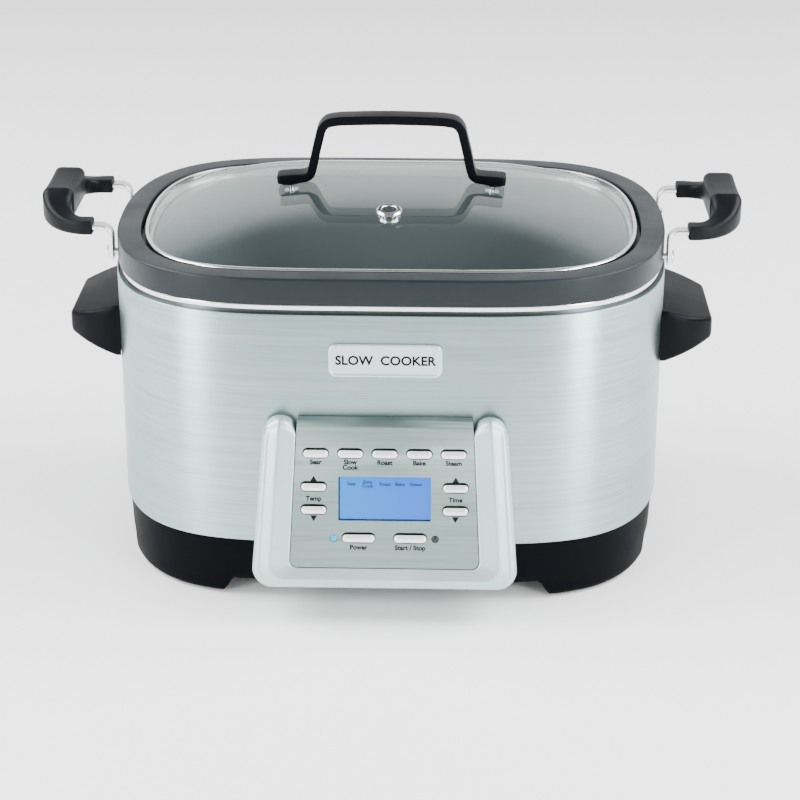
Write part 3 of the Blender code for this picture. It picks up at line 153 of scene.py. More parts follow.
def quadFaces(rows, columns, closeRows, closeColumns):
    row = np.arange(rows if closeRows else rows - 1)[:, None]
    column = np.arange(columns if closeColumns else columns - 1)[None]
    here, there = row * columns, (row + 1) % rows * columns
    onward = (column + 1) % columns
    return pack(here + column, here + onward, there + onward, there + column).reshape(-1, 4).tolist()


def gridPiece(name, grid, finish, closeRows=False, sharp=32):
    # a grid of points joined by quads, each row closed, with a fan over each open end row
    rows, columns = grid.shape[:2]
    faces = quadFaces(rows, columns, closeRows, True)
    points = grid.reshape(-1, 3)
    if not closeRows:
        around = np.arange(columns)
        for start in (0, (rows - 1) * columns):
            points = np.concatenate([points, grid.reshape(-1, 3)[start:start + columns].mean(0)[None]])
            faces += pack(start + around, start + (around + 1) % columns, len(points) - 1).tolist()
    return meshPiece(name, points, faces, finish, sharp)


def wrapPiece(name, profile, finish, sharp=32):
    # a band that follows the plan outline all the way round, with a closed profile
    return gridPiece(name, ringsOf(profile), finish, closeRows=True, sharp=sharp)


def sweepPiece(name, path, across, up, section, finish, sharp=32):
    # a section of (across, up) offsets carried along a path, one frame for each of its points
    section = np.asarray(section, float)
    if section.ndim == 2:
        section = np.broadcast_to(section, (len(path),) + section.shape)
    grid = path[:, None] + across[:, None] * section[..., :1] + up[:, None] * section[..., 1:]
    return gridPiece(name, grid, finish, sharp=sharp)


def turnedPiece(name, profile, base, axis, finish, around=64, hollow=False, sharp=32):
    # a profile of (radius, height) turned about an axis through base
    axis = unit(np.asarray(axis, float))
    side = unit(np.cross(axis, [0.31, 0.9, 0.2]))
    other = np.cross(axis, side)
    angle = np.linspace(0, 2 * np.pi, around, endpoint=False)
    spokes = np.cos(angle)[:, None] * side + np.sin(angle)[:, None] * other
    profile = np.asarray(profile, float)
    grid = np.asarray(base) + profile[:, :1, None] * spokes + profile[:, 1:, None] * axis
    return gridPiece(name, grid, finish, closeRows=hollow, sharp=sharp)


def drilled(radius, low, high, at, axis, finish, around):
    # a round cutter for a hole
    return turnedPiece("hole", [(radius, low), (radius, high)], at, axis, finish, around)


def roundRectangle(halfWidth, halfHeight, corner, steps=10):
    # the four corner centres, and for each a quarter turn of unit vectors
    signs = np.array([[1, 1], [-1, 1], [-1, -1], [1, -1]], float)
    angle = np.pi / 2 * (np.arange(4)[:, None] + np.linspace(0, 1, steps + 1)[None])
    spokes = pack(np.cos(angle), np.sin(angle))
    centres = signs[:, None] * [halfWidth - corner, halfHeight - corner] + 0 * spokes
    return centres.reshape(-1, 2), spokes.reshape(-1, 2)


def lozengePiece(name, size, corner, profile, place, finish, steps=10, sharp=32):
    # a rounded rectangle whose edge moves in by inset as it rises: rows of (inset, height)
    centres, spokes = roundRectangle(size[0] / 2, size[1] / 2, corner, steps)
    profile = np.asarray(profile, float)
    flat = centres[None] + spokes[None] * (corner - profile[:, :1, None])
    return gridPiece(name, place(flat[..., 0], flat[..., 1], profile[:, 1:]), finish, sharp=sharp)


def onPanel(u, drop, height):
    # u to the right, drop down the leaning face from its top edge, height out of it
    y = panel["faceY"] - drop * panel["sine"] - height * panel["cosine"]
    z = panel["topZ"] - drop * panel["cosine"] + height * panel["sine"]
    return pack(u, y, z)


def panelPlace(u, drop, level=0.0):
    return lambda a, b, height: onPanel(u + a, drop - b, height + level)


def carve(piece, cutters, sharp=32):
    # the cutters' shapes taken out of the piece for good
    for cutter in cutters:
        cut = piece.modifiers.new("cut", "BOOLEAN")
        cut.operation, cut.solver, cut.object = "DIFFERENCE", "EXACT", cutter
    graph = bpy.context.evaluated_depsgraph_get()
    carved = bpy.data.meshes.new_from_object(piece.evaluated_get(graph))
    piece.modifiers.clear()
    piece.data = carved
    for cutter in cutters:
        bpy.data.objects.remove(cutter)
    carved.shade_smooth()
    carved.set_sharp_from_angle(angle=math.radians(sharp))
    return piece


def sided(name, side):
    return name + ("Left" if side < 0 else "Right")


def titled(first, words):
    return first + "".join(word.capitalize() for word in words)


def settle(piece, body, slotName, *replaced):
    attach(piece, body)
    if replaced:
        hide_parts(*replaced)
    return piece


class Signal:
    # one output of a shader node, so that sums on it add Math nodes
    def __init__(self, finish, socket):
        self.finish, self.socket = finish, socket

    def sum(self, operation, first, second):
        return self.finish.node("Math", dict(operation=operation), {0: first, 1: second})

    def __add__(self, other):
        return self.sum("ADD", self, other)

    def __sub__(self, other):
        return self.sum("SUBTRACT", self, other)

    def __mul__(self, other):
        return self.sum("MULTIPLY", self, other)

    def __truediv__(self, other):
        return self.sum("DIVIDE", self, other)

    def __pow__(self, other):
        return self.sum("POWER", self, other)

    def __abs__(self):
        return self.sum("ABSOLUTE", self, 0.0)


class Finish:
    # a material around one Principled shader
    def __init__(self, name, colour, roughness, metallic=0.0, **fixed):
        self.material = bpy.data.materials.new(name)
        self.material.use_nodes = True
        self.tree = self.material.node_tree
        self.shader = self.tree.nodes["Principled BSDF"]
        self.rough = roughness
        self.fix("Base Color", (*colour, 1))
        self.fix("Roughness", roughness)
        self.fix("Metallic", metallic)
        for label, value in fixed.items():
            self.fix(label.replace("_", " "), value)

    def fix(self, label, value):
        self.shader.inputs[label].default_value = value

    def node(self, kind, settings=None, values=None, output=0):
        made = self.tree.nodes.new("ShaderNode" + kind)
        for label, value in (settings or {}).items():
            if label == "stops":
                while len(made.color_ramp.elements) < len(value):
                    made.color_ramp.elements.new(0.5)
                for element, (position, colour) in zip(made.color_ramp.elements, value):
                    element.position, element.color = position, (*colour, 1)
            else:
                setattr(made, label, value)
        for label, value in (values or {}).items():
            if isinstance(value, Signal):
                self.tree.links.new(value.socket, made.inputs[label])
            else:
                made.inputs[label].default_value = value
        return Signal(self, made.outputs[output])

    def feed(self, label, signal):
        self.tree.links.new(signal.socket, self.shader.inputs[label])
        return self

    def axis(self, which):
        return self.node("SeparateXYZ", None, {0: self.node("TexCoord", output=3)}, output=which)

    def place(self, scale=(1, 1, 1)):
        return self.node("Mapping", None, {"Vector": self.node("TexCoord", output=3), "Scale": scale})

    def noise(self, scale, detail=3.0, rough=0.5, stretch=(1, 1, 1)):
        values = {"Vector": self.place(stretch), "Scale": scale, "Detail": detail, "Roughness": rough}
        return self.node("TexNoise", None, values)

    def between(self, signal, low, high, fromLow=0.0, fromHigh=1.0):
        values = {"Value": signal, "From Min": fromLow, "From Max": fromHigh, "To Min": low, "To Max": high}
        return self.node("MapRange", dict(clamp=True), values)

    def blend(self, factor, first, second):
        def four(value):
            return value if isinstance(value, Signal) else (*value, 1)[:4]
        values = {0: factor, 6: four(first), 7: four(second)}
        return self.node("Mix", dict(data_type="RGBA"), values, output=2)

    def bump(self, height, strength, distance):
        values = {"Height": height, "Strength": strength, "Distance": distance}
        return self.feed("Normal", self.node("Bump", None, values))

    def tone(self, signal, low, high, first, second):
        return self.feed("Base Color", self.blend(self.between(signal, 0, 1, low, high), first, second))

    def gloss(self, signal, under, over, low=0.35, high=0.65):
        # the roughness wanders from under below to over above the finish's own
        return self.feed("Roughness", self.between(signal, self.rough - under, self.rough + over, low, high))


def scaled(colour, share, lift=0.0):
    return tuple(min(c * share + lift, 1) for c in colour)


def brushedSteel(name, colour, roughness, along, strength=0.10):
    # long fine scratches: noise stretched along the brushing, in the metal's tone, gloss and relief
    finish = Finish(name, colour, roughness, 1.0, Anisotropic=0.8, Anisotropic_Rotation=0.25)
    streak = finish.noise(420, 4, 0.65, along) * 0.65 + finish.noise(60, 3, 0.5, along) * 0.35
    finish.tone(streak, 0.32, 0.68, scaled(colour, 0.76), scaled(colour, 1.14))
    finish.gloss(streak * 0.75 + finish.noise(9, 2) * 0.25, 0.06, 0.09, 0.3, 0.7)
    return finish.bump(streak, strength, 0.0004).material


def polishedSteel(name, colour=(0.86, 0.87, 0.87), roughness=0.14):
    # faint hairlines one way, and smudges that dull the shine
    finish = Finish(name, colour, roughness, 1.0)
    hairline, smudge = finish.noise(900, 3, 0.6, (0.15, 1, 1)), finish.noise(22, 3, 0.55)
    finish.gloss(smudge * 0.6 + hairline * 0.4, 0.05, 0.10, 0.3, 0.7)
    finish.tone(smudge, 0.35, 0.7, scaled(colour, 0.93), colour)
    return finish.bump(hairline, 0.03, 0.0002).material


def mouldedPlastic(name, colour, roughness, grain, relief, sheen, shine):
    # a fine spark-eroded grain, with slightly polished and dusty places
    finish = Finish(name, colour, roughness, 0.0, Specular_IOR_Level=shine)
    speck, handled = finish.noise(grain, 2, 0.6), finish.noise(14, 4, 0.6)
    finish.gloss(handled, 0.07, 0.07)
    finish.tone(speck * 0.5 + handled * 0.5, 0.35, 0.68, colour, scaled(colour, 1.22, 0.004 * sheen))
    return finish.bump(speck, relief, 0.00025).material


def satinCoating(name, colour, wellColour, roughness):
    # a sprayed non-stick coat: tiny metal flecks and an orange-peel ripple; the cooking well is paler
    # than the rim: below the ledge, and inside the plan outline drawn in by the inset
    finish = Finish(name, colour, roughness, 0.1, Specular_IOR_Level=0.26)
    fleck = finish.node("TexVoronoi", None, {"Vector": finish.place(), "Scale": 2400.0})
    ripple, wear = finish.noise(700, 3, 0.55), finish.noise(26, 4, 0.6)
    outside = finish.blend(finish.between(fleck, 0.55, 0.0, 0.05, 0.42), colour, scaled(colour, 1.55))
    inset = 14 * mm
    alongX = abs(finish.axis(0)) / (plan["halfWidth"] - inset)
    alongY = abs(finish.axis(1) - centreY) / (plan["halfDepth"] - inset)
    inside = finish.between(alongX ** plan["endPower"] + alongY ** plan["frontPower"], 1.0, 0.0, 0.97, 1.03)
    below = finish.between(finish.axis(2), 1.0, 0.0, potHigh.z - 8.6 * mm, potHigh.z - 7.9 * mm)
    finish.feed("Base Color", finish.blend(inside * below, outside, wellColour))
    finish.gloss(wear * 0.7 + ripple * 0.3, 0.06, 0.08)
    return finish.bump(ripple, 0.10, 0.0003).material


def silverLacquer(name, colour, roughness, paintedShadeBelow=None):
    # metal flakes in a clear coat; a button's foot, below the panel's face, is painted near black as shade
    finish = Finish(name, colour, roughness, 0.55, Coat_Weight=0.25, Coat_Roughness=0.22)
    flake, flow = finish.noise(3200, 2, 0.7), finish.noise(30)
    tone = finish.between(flake * 0.6 + flow * 0.4, 0, 1, 0.36, 0.66)
    shade = finish.blend(tone, scaled(colour, 0.93), scaled(colour, 1.05))
    # painted shade: near black on the button's sides below the panel's face, where the gap would be in shadow
    if paintedShadeBelow is not None:
        rise = (finish.axis(2) - panel["topZ"]) * panel["sine"]
        height = rise - (finish.axis(1) - panel["faceY"]) * panel["cosine"]
        lit = finish.between(height, 0.0, 1.0, paintedShadeBelow - 0.12 * mm, paintedShadeBelow)
        shade = finish.blend(lit, (0.004, 0.005, 0.005), shade)
    finish.feed("Base Color", shade).gloss(flow, 0.04, 0.05)
    return finish.bump(flake, 0.05, 0.0002).material


def clearGlass(name, tint, shine=1.0):
    # see-through sheet glass: clear where it's looked through squarely, mirror-like at a grazing angle
    finish = Finish(name, (0.95, 0.98, 0.97), 0.03, 1.0)
    finish.bump(finish.noise(16, 2), 0.02, 0.001)
    clear = finish.node("BsdfTransparent", None, {"Color": (*tint, 1)})
    facing = finish.node("LayerWeight", None, {"Blend": 0.5}, output=1)
    gloss = facing ** 5 * (0.9 * shine) + 0.04 * shine
    mix = finish.node("MixShader", None, {0: gloss}).socket.node
    finish.tree.links.new(clear.socket, mix.inputs[1])
    finish.tree.links.new(finish.shader.outputs[0], mix.inputs[2])
    finish.tree.links.new(mix.outputs[0], finish.tree.nodes["Material Output"].inputs[0])
    return finish.material


def circuitBoard(name, colour=(0.02, 0.12, 0.06)):
    # a fine brick pattern stands for the tracks
    finish = Finish(name, colour, 0.4, 0.0, Coat_Weight=0.3)
    values = {"Vector": finish.place(), "Scale": 160.0, "Mortar Size": 0.03}
    tracks = finish.node("TexBrick", None, values, output=1)
    return finish.tone(tracks, 0, 1, colour, (0.08, 0.28, 0.14)).bump(tracks, 0.2, 0.0002).material


def litScreen(name):
    # a backlit panel, brighter towards its left end, with painted shadow along its left and foot edges where
    # the window's recess would shade it
    finish = Finish(name, (0.01, 0.03, 0.10), 0.5, 0.0, Emission_Strength=1.5, Specular_IOR_Level=0.05)
    across = finish.axis(0)
    colour = finish.blend(finish.between(across, 0, 1, -0.03, 0.012), (0.0, 0.32, 1.0), (0.01, 0.20, 1.0))
    cells = finish.between(finish.noise(5200, 1), 0.0, 0.05, 0.3, 0.7)
    # painted shadow: the glow is dimmed to near black along the left and foot edges
    foot = panel["topZ"] - 68.9 * mm * panel["cosine"] - 0.5 * mm
    clearOfLeftShade = finish.between(across, 0, 1, -29.3 * mm, -28.8 * mm)
    clearOfFootShade = finish.between(finish.axis(2), 0, 1, foot, foot + 0.5 * mm)
    lit = finish.blend(cells, colour, (0.1, 0.5, 1.0))
    finish.feed("Emission Color", finish.blend(clearOfLeftShade * clearOfFootShade, (0.0, 0.004, 0.03), lit))
    return finish.material


def lamp(name, colour, glow):
    finish = Finish(name, colour, 0.15, 0.0, Emission_Strength=glow, Specular_IOR_Level=0.3)
    haze = finish.between(finish.noise(900, 2), 0, 1, 0.3, 0.7)
    mixed = finish.blend(haze, colour, scaled(colour, 1.3))
    return finish.feed("Base Color", mixed).feed("Emission Color", mixed).material


steelRound = brushedSteel("brushedShellSteel", (0.37, 0.485, 0.48), 0.36, (0.03, 0.03, 1.6))
steelFlat = brushedSteel("brushedPlateSteel", (0.355, 0.47, 0.455), 0.36, (0.03, 1.6, 1.6), 0.12)
neckSteel = brushedSteel("neckSteel", (0.13, 0.16, 0.165), 0.40, (0.03, 0.03, 1.6))
polished = polishedSteel("polishedSteel")
satinStrap = polishedSteel("satinStrapSteel", (0.84, 0.86, 0.85), 0.24)
millAluminium = brushedSteel("millAluminium", (0.66, 0.67, 0.68), 0.42, (0.2, 0.2, 1.2), 0.08)
rimCoat = satinCoating("charcoalRimCoat", (0.006, 0.010, 0.013), (0.085, 0.098, 0.108), 0.40)
blackPlastic = mouldedPlastic("blackMouldedPlastic", (0.0012, 0.0016, 0.0026), 0.5, 2600, 0.12, 0.1, 0.03)
handlePlastic = mouldedPlastic("blackHandlePlastic", (0.0010, 0.0016, 0.0028), 0.42, 3000, 0.09, 0.1, 0.06)
silicone = mouldedPlastic("softBlackSilicone", (0.0014, 0.0022, 0.0034), 0.46, 2200, 0.10, 0.1, 0.12)
silver = silverLacquer("silverLacquer", (0.43, 0.545, 0.535), 0.36)
badgeSilver = silverLacquer("badgeSilver", (0.55, 0.62, 0.62), 0.30)
buttonPearl = silverLacquer("pearlButton", (0.86, 0.875, 0.86), 0.34, 0.12 * mm)
glass = clearGlass("clearLidGlass", (0.93, 0.965, 0.955))
windowGlass = clearGlass("displayWindow", (0.97, 0.98, 0.99), 0.3)
boardGreen = circuitBoard("circuitBoard")
screenBlue = litScreen("blueBacklight")
ink = mouldedPlastic("blackInk", (0.004, 0.004, 0.005), 0.6, 4000, 0.05, 0.2, 0.1)
screenInk = mouldedPlastic("greyScreenInk", (0.004, 0.02, 0.10), 0.6, 4000, 0.02, 0.1, 0.1)
lampBlue = lamp("litLamp", (0.0, 0.20, 0.32), 1.2)
lampDark = lamp("unlitLamp", (0.012, 0.022, 0.022), 0.0)
print("materials made")


def inMm(**sizes):
    return {name: size * mm for name, size in sizes.items()}


shellShape = inMm(standOut=1, sheet=1, edgeRound=0.35)


def makeShell():
    low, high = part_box("outer_shell")
    outer, edge = shellShape["standOut"], shellShape["edgeRound"] / mm
    inner = outer - shellShape["sheet"]
    corners = [(outer, low.z), (outer, high.z), (inner, high.z), (inner, low.z)]
    profile = rounded(corners, [0.2, edge, edge, 0.2], 4)
    settle(wrapPiece("brushedShell", profile, steelRound), "housing", "brushed_steel", "outer_shell")


baseShape = inMm(
    setBack=0.6, draft=1.2, clearance=11, ground=0.8, footX=76, footY=70, edgeRound=5, wall=3.2, archSlope=8,
    slotLength=60, slotWidth=3, slotPitch=12,
)


def makeBase():
    # the wall goes down and in by the draft, turns under through an arc, and the underside is a field of
    # heights: ground under the four corner feet, higher by the clearance in the arches between them
    high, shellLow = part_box("base_tray")[1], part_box("outer_shell")[0]
    s = baseShape
    arcs = np.linspace(0, np.pi / 2, 9)
    wallShare = np.linspace(0, 1, 14)
    spanX, spanY = plan["halfWidth"] - s["footX"], plan["halfDepth"] - s["footY"]

    def floorAt(x, y):
        inward = np.maximum(spanX - np.abs(x), spanY - np.abs(y)) + 0.8 * mm
        inside = np.clip(inward / s["archSlope"], 0, 1)
        eased = inside * inside * (3 - 2 * inside)
        return s["ground"] + (s["clearance"] - s["ground"]) * (0.7 * eased + 0.3 * inside)

    edge = outlineAt - outlineNormal * (s["setBack"] + s["draft"])
    floorZ = floorAt(edge[:, 0], edge[:, 1])
    topInner = ringsOf([(-s["setBack"] - s["wall"], high.z)])[0]
    topOuter = ringsOf([(-s["setBack"], high.z), (-s["setBack"], shellLow.z)])
    offset = -(s["setBack"] + s["draft"] * wallShare)[:, None]
    wallXY = outlineAt[None] + outlineNormal[None] * offset[..., None]
    wallZ = shellLow.z + (floorZ[None] + s["edgeRound"] - shellLow.z) * wallShare[:, None]
    turnOffset = -(s["setBack"] + s["draft"] + s["edgeRound"] * (1 - np.cos(arcs)))
    turnXY = outlineAt[None] + outlineNormal[None] * turnOffset[:, None, None]
    turnZ = floorZ[None] + s["edgeRound"] * (1 - np.sin(arcs))[:, None]
    shares = np.linspace(1, 0.01, 70)[1:, None, None]
    underXY = turnXY[-1][None] * shares
    underZ = floorAt(underXY[..., 0], underXY[..., 1])
    flat = np.concatenate([wallXY, turnXY[1:], underXY])
    heights = np.concatenate([wallZ, turnZ[1:], underZ])
    skin = pack(flat[..., 0], flat[..., 1] + centreY, heights)
    wallIn = -s["setBack"] - s["wall"]
    inner = ringsOf([(wallIn - 14 * mm, s["clearance"] + 4 * mm), (wallIn, s["clearance"] + 6 * mm)])
    grid = np.concatenate([inner, topInner[None], topOuter, skin])
    tray = gridPiece("blackBase", grid, blackPlastic, sharp=40)
    slots = []
    for i in range(5):
        lift = lambda a, b, height, y=centreY + (i - 2) * s["slotPitch"]: pack(a, b + y, height)
        size, rows = (s["slotLength"], s["slotWidth"]), [(0, 0), (0, 18 * mm)]
        slots.append(lozengePiece("slot", size, 1.4 * mm, rows, lift, blackPlastic, 4))
    carve(tray, slots, 40)
    settle(tray, "housing", "black_plastic", "base_tray")


def makeCollar():
    low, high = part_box("top_collar")
    s = shellShape
    outer, shoulder = s["standOut"] - s["sheet"] - 0.3 * mm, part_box("outer_shell")[1].z - 1 * mm
    neck, seat, inner = -2.5 * mm, -12 * mm, outer - 3.4 * mm
    corners = [(outer, low.z), (outer, shoulder), (neck, shoulder), (neck, high.z), (seat, high.z),
               (seat, high.z - 3 * mm), (inner, high.z - 5 * mm), (inner, low.z)]
    profile = rounded(corners, [0, 0.4, 0.3, 0.4, 0.4, 0, 0, 0], 3)
    settle(wrapPiece("greyCollar", profile, neckSteel), "housing", "brushed_steel", "top_collar")


def makeTrimRing():
    low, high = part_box("trim_ring")
    outer = high.x - plan["halfWidth"]
    inner = outer - 2.2 * mm
    corners = [(outer, low.z), (outer, high.z), (inner, high.z), (inner, low.z)]
    profile = rounded(corners, [0.7, 1.0, 0.3, 0.3], 6)
    settle(wrapPiece("polishedTrim", profile, polished), "housing", "polished_steel", "trim_ring")


wellShape = inMm(
    sheet=0.8, clearance=3, potInner=25, potWall=3.2, taper=7, depth=105.5, ledgeDrop=7.6, floorIn=11,
    probeHole=9, tubeHole=5.1, tubeX=17.92, tubeY=-46.2,
)


def makeWell():
    # a flanged tub of sheet metal that follows the pot's taper, with holes for the probe and the tube's ends
    low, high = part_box("heating_well")
    s = wellShape
    ledge = potHigh.z - s["ledgeDrop"]
    floor = low.z + s["sheet"]

    def insideAt(z):
        return -s["potInner"] + s["potWall"] + s["clearance"] - s["taper"] * min((ledge - z) / s["depth"], 1)

    flange, underFlange = high.x - plan["halfWidth"], high.z - s["sheet"]
    foot, top = insideAt(floor + 9 * mm), insideAt(high.z)
    middle = foot - s["floorIn"]
    corners = [(middle, floor), (foot, floor), (top, high.z), (flange, high.z), (flange, underFlange),
               (top + s["sheet"], underFlange), (foot + s["sheet"], low.z), (middle, low.z)]
    profile = rounded(corners, [0, 8, 2, 0.2, 0.2, 1.2, 8.6, 0], 6, closed=False)
    well = gridPiece("heatingWell", ringsOf(profile), millAluminium)
    holes = []
    for x, y, radius, around in ((0, 0, s["probeHole"], 40), (-s["tubeX"], s["tubeY"], s["tubeHole"], 24),
                                 (s["tubeX"], s["tubeY"], s["tubeHole"], 24)):
        at = [x, centreY + y, floor - 12 * mm]
        holes.append(drilled(radius, 0, 24 * mm, at, [0, 0, 1], millAluminium, around))
    settle(carve(well, holes), "housing", "aluminium", "heating_well")


sideHandle = inMm(
    root=50, tip=33, topAtShell=175.2, topAtEnd=165.9, bottomAtShell=139.2, bottomAtEnd=151.5, wall=6.5,
    edge=3.2, pocketCorner=5,
)


def shellBody(low, high, finish):
    # a cutter: everything inside the shell's outer face, with a small gap
    offset = shellShape["standOut"] + 0.3 * mm
    return gridPiece("body", ringsOf([(offset, low), (offset, high)]), finish)


def makeSideHandle(name, side):
    # sections across the reach: a rectangle with round edges, narrower and lower towards the end
    s = sideHandle
    low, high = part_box(name)
    root = plan["halfWidth"] + shellShape["standOut"]
    reach = max(abs(low.x), abs(high.x)) - root
    endShare = 0.94
    nose = endShare + (1 - endShare) * np.sin(np.linspace(0.2, 1.57, 8))
    grids = []
    for share in np.concatenate([[-0.3, -0.1], np.linspace(0, endShare, 22), nose]):
        out = max(share, 0)
        half = s["root"] - (s["root"] - s["tip"]) * out ** 2.2
        top = s["topAtShell"] + (s["topAtEnd"] - s["topAtShell"]) * out
        bottom = s["bottomAtShell"] + (s["bottomAtEnd"] - s["bottomAtShell"]) * out
        fall = max(share - endShare, 0) / (1 - endShare)
        drawn = 2.4 * mm * (1 - math.sqrt(max(1 - fall ** 2, 0)))
        edge = max(s["edge"] - drawn * 0.4, 1 * mm)
        centres, spokes = roundRectangle(half - drawn, (top - bottom) / 2 - drawn, edge, 6)
        flat = centres + spokes * edge
        level = (top + bottom) / 2
        grids.append(pack(side * (root + reach * share), flat[:, 0] + centreY, flat[:, 1] + level))
    handle = gridPiece(sided("sideHandle", side), np.stack(grids), handlePlastic, sharp=45)
    near, far = root + s["wall"], root + reach - s["wall"]
    ceiling = s["topAtEnd"] - s["wall"]
    rise = lambda a, b, height: pack(side * (near + far) / 2 + a, centreY + b, height)
    rows = [(0, ceiling - 45 * mm), (0, ceiling - 3 * mm), (0.9 * mm, ceiling - 0.9 * mm), (3 * mm, ceiling)]
    size = (far - near, 2 * (s["tip"] - 3 * mm))
    pocket = lozengePiece("pocket", size, s["pocketCorner"], rows, rise, handlePlastic, 6)
    cutters = [pocket, shellBody(0.1, 0.21, handlePlastic)]
    settle(carve(handle, cutters, 45), "housing", "black_plastic", name)


makeShell()
makeBase()
makeCollar()
makeTrimRing()
makeWell()
for handleSide, handleName in ((-1, "side_handle_left"), (1, "side_handle_right")):
    makeSideHandle(handleName, handleSide)
print("housing made")


plate = inMm(length=101, topHalf=56.5, footHalf=61.7, sheet=1, edge=3, curl=5, corner=5)
bezel = inMm(topHalf=78.5, footHalf=87.5, top=1, length=115.5, corner=13, seam=0.6, underShell=60, browFall=9)


def uShape(topHalf, footHalf, top, foot, corner, steps):
    # down the left side, round the foot and up the right side
    slope = (footHalf - topHalf) / (foot - top)
    turn = np.linspace(0, np.pi / 2, steps)[1:]
    run = np.linspace(top, foot - corner, 40)
    low = topHalf + slope * (foot - corner - top)
    left = np.concatenate([
        pack(-(topHalf + slope * (run - top)), run),
        pack(-(low - corner * (1 - np.cos(turn))), foot - corner + corner * np.sin(turn))])
    middle = np.linspace(left[-1, 0], -left[-1, 0], 60)[1:-1]
    return np.concatenate([left, pack(middle, foot), left[::-1] * [-1, 1]])


def resample(line, count, marks, markShares):
    # count points along a line, with its marked points at the given shares of the way
    return pointsAt(line, np.interp(np.linspace(0, 1, count), markShares, travelled(line)[marks]))


def makeBezel():
    # ruled between the plate's seam and the frame's outer edge: up a gentle slope to a soft ridge,
    # over it, round the outer edge and back to the shell; the upper ends fall away in a quarter round
    s = bezel
    steps, count = 16, 420
    seam = s["seam"]
    inner = uShape(plate["topHalf"] + seam, plate["footHalf"] + seam, s["top"], plate["length"] + seam,
                   plate["corner"], steps)
    outer = uShape(s["topHalf"], s["footHalf"], s["top"], s["length"], s["corner"], steps)
    markShares = [0, 0.36, 0.44, 0.56, 0.64, 1]
    marks = [0, 39, 38 + steps, 97 + steps, 96 + 2 * steps, len(inner) - 1]
    inner, outer = (resample(line, count, marks, markShares) for line in (inner, outer))
    edgeTurn = np.linspace(0, np.pi / 2, 10)[1:]
    share = np.concatenate([
        [0, 0, 0.02], np.linspace(0.06, 0.46, 8), [0.49, 0.52, 0.55, 0.60], np.linspace(0.66, 0.80, 5),
        0.80 + 0.20 * np.sin(edgeTurn), [1, 1]])
    rise = mm * np.concatenate([
        [-9, 0.05, 0.35], np.linspace(0.5, 2.85, 8), [3.0, 3.02, 2.85, 2.5], np.linspace(2.0, 0.9, 5),
        0.9 - 4.4 * (1 - np.cos(edgeTurn)), [-16, -60]])
    top = outer[:, 1].min()
    reachTop = np.clip(1 - (outer[:, 1] - top) / s["corner"], 0, 1)
    grid = []
    for f, h in zip(share, rise):
        flat = inner + (outer - inner) * f
        edgeDistance = np.clip(flat[:, 1] - top, 0, s["corner"]) / s["corner"]
        across = np.clip((f - 0.5) / 0.5, -1, 1)
        fall = (1 - np.sqrt(1 - (1 - edgeDistance) ** 2)) * reachTop * s["browFall"]
        shoulder = (1 - np.sqrt(np.clip(1 - across ** 2, 0, 1))) * (1 - edgeDistance) * s["corner"] * 0.85
        grid.append(onPanel(flat[:, 0], flat[:, 1] + shoulder, h - fall if h > -10 * mm else h))
    grid.append(onPanel(inner[:, 0], inner[:, 1], -s["underShell"]))
    rows, around = len(grid), np.arange(len(grid)) * count
    faces = quadFaces(rows, count, True, False) + [around.tolist(), (around + count - 1).tolist()]
    frameRing = meshPiece("silverFrame", np.concatenate(grid), faces, silver, 40)
    carve(frameRing, [shellBody(-0.01, 0.21, silver)], 40)
    settle(frameRing, "housing", "silver_plastic", "control_bezel")


smallButton, wideButton = (16.4 * mm, 5.2 * mm), (21.2 * mm, 5.4 * mm)
buttonShape = inMm(gap=0.5, slot=1, depth=4, proud=1.2, edge=1.3, crown=0.25)
display = inMm(width=60, height=29.4, drop=54.7, gap=0.3, corner=0.9, margin=3.4)
lamps = inMm(u=33, drop=81.2, radius=2.2, proud=0.6, gap=0.3)
buttonNames = [name for name in nodes if name.startswith("button_")]


def buttonPlace(name):
    # where its face's middle is, in the panel's own measures
    low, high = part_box(name)
    middle = (low + high) / 2
    drop = (panel["topZ"] - middle.z) * panel["cosine"] + (panel["faceY"] - middle.y) * panel["sine"]
    return middle.x, drop, wideButton if high.x - low.x > 18 * mm else smallButton


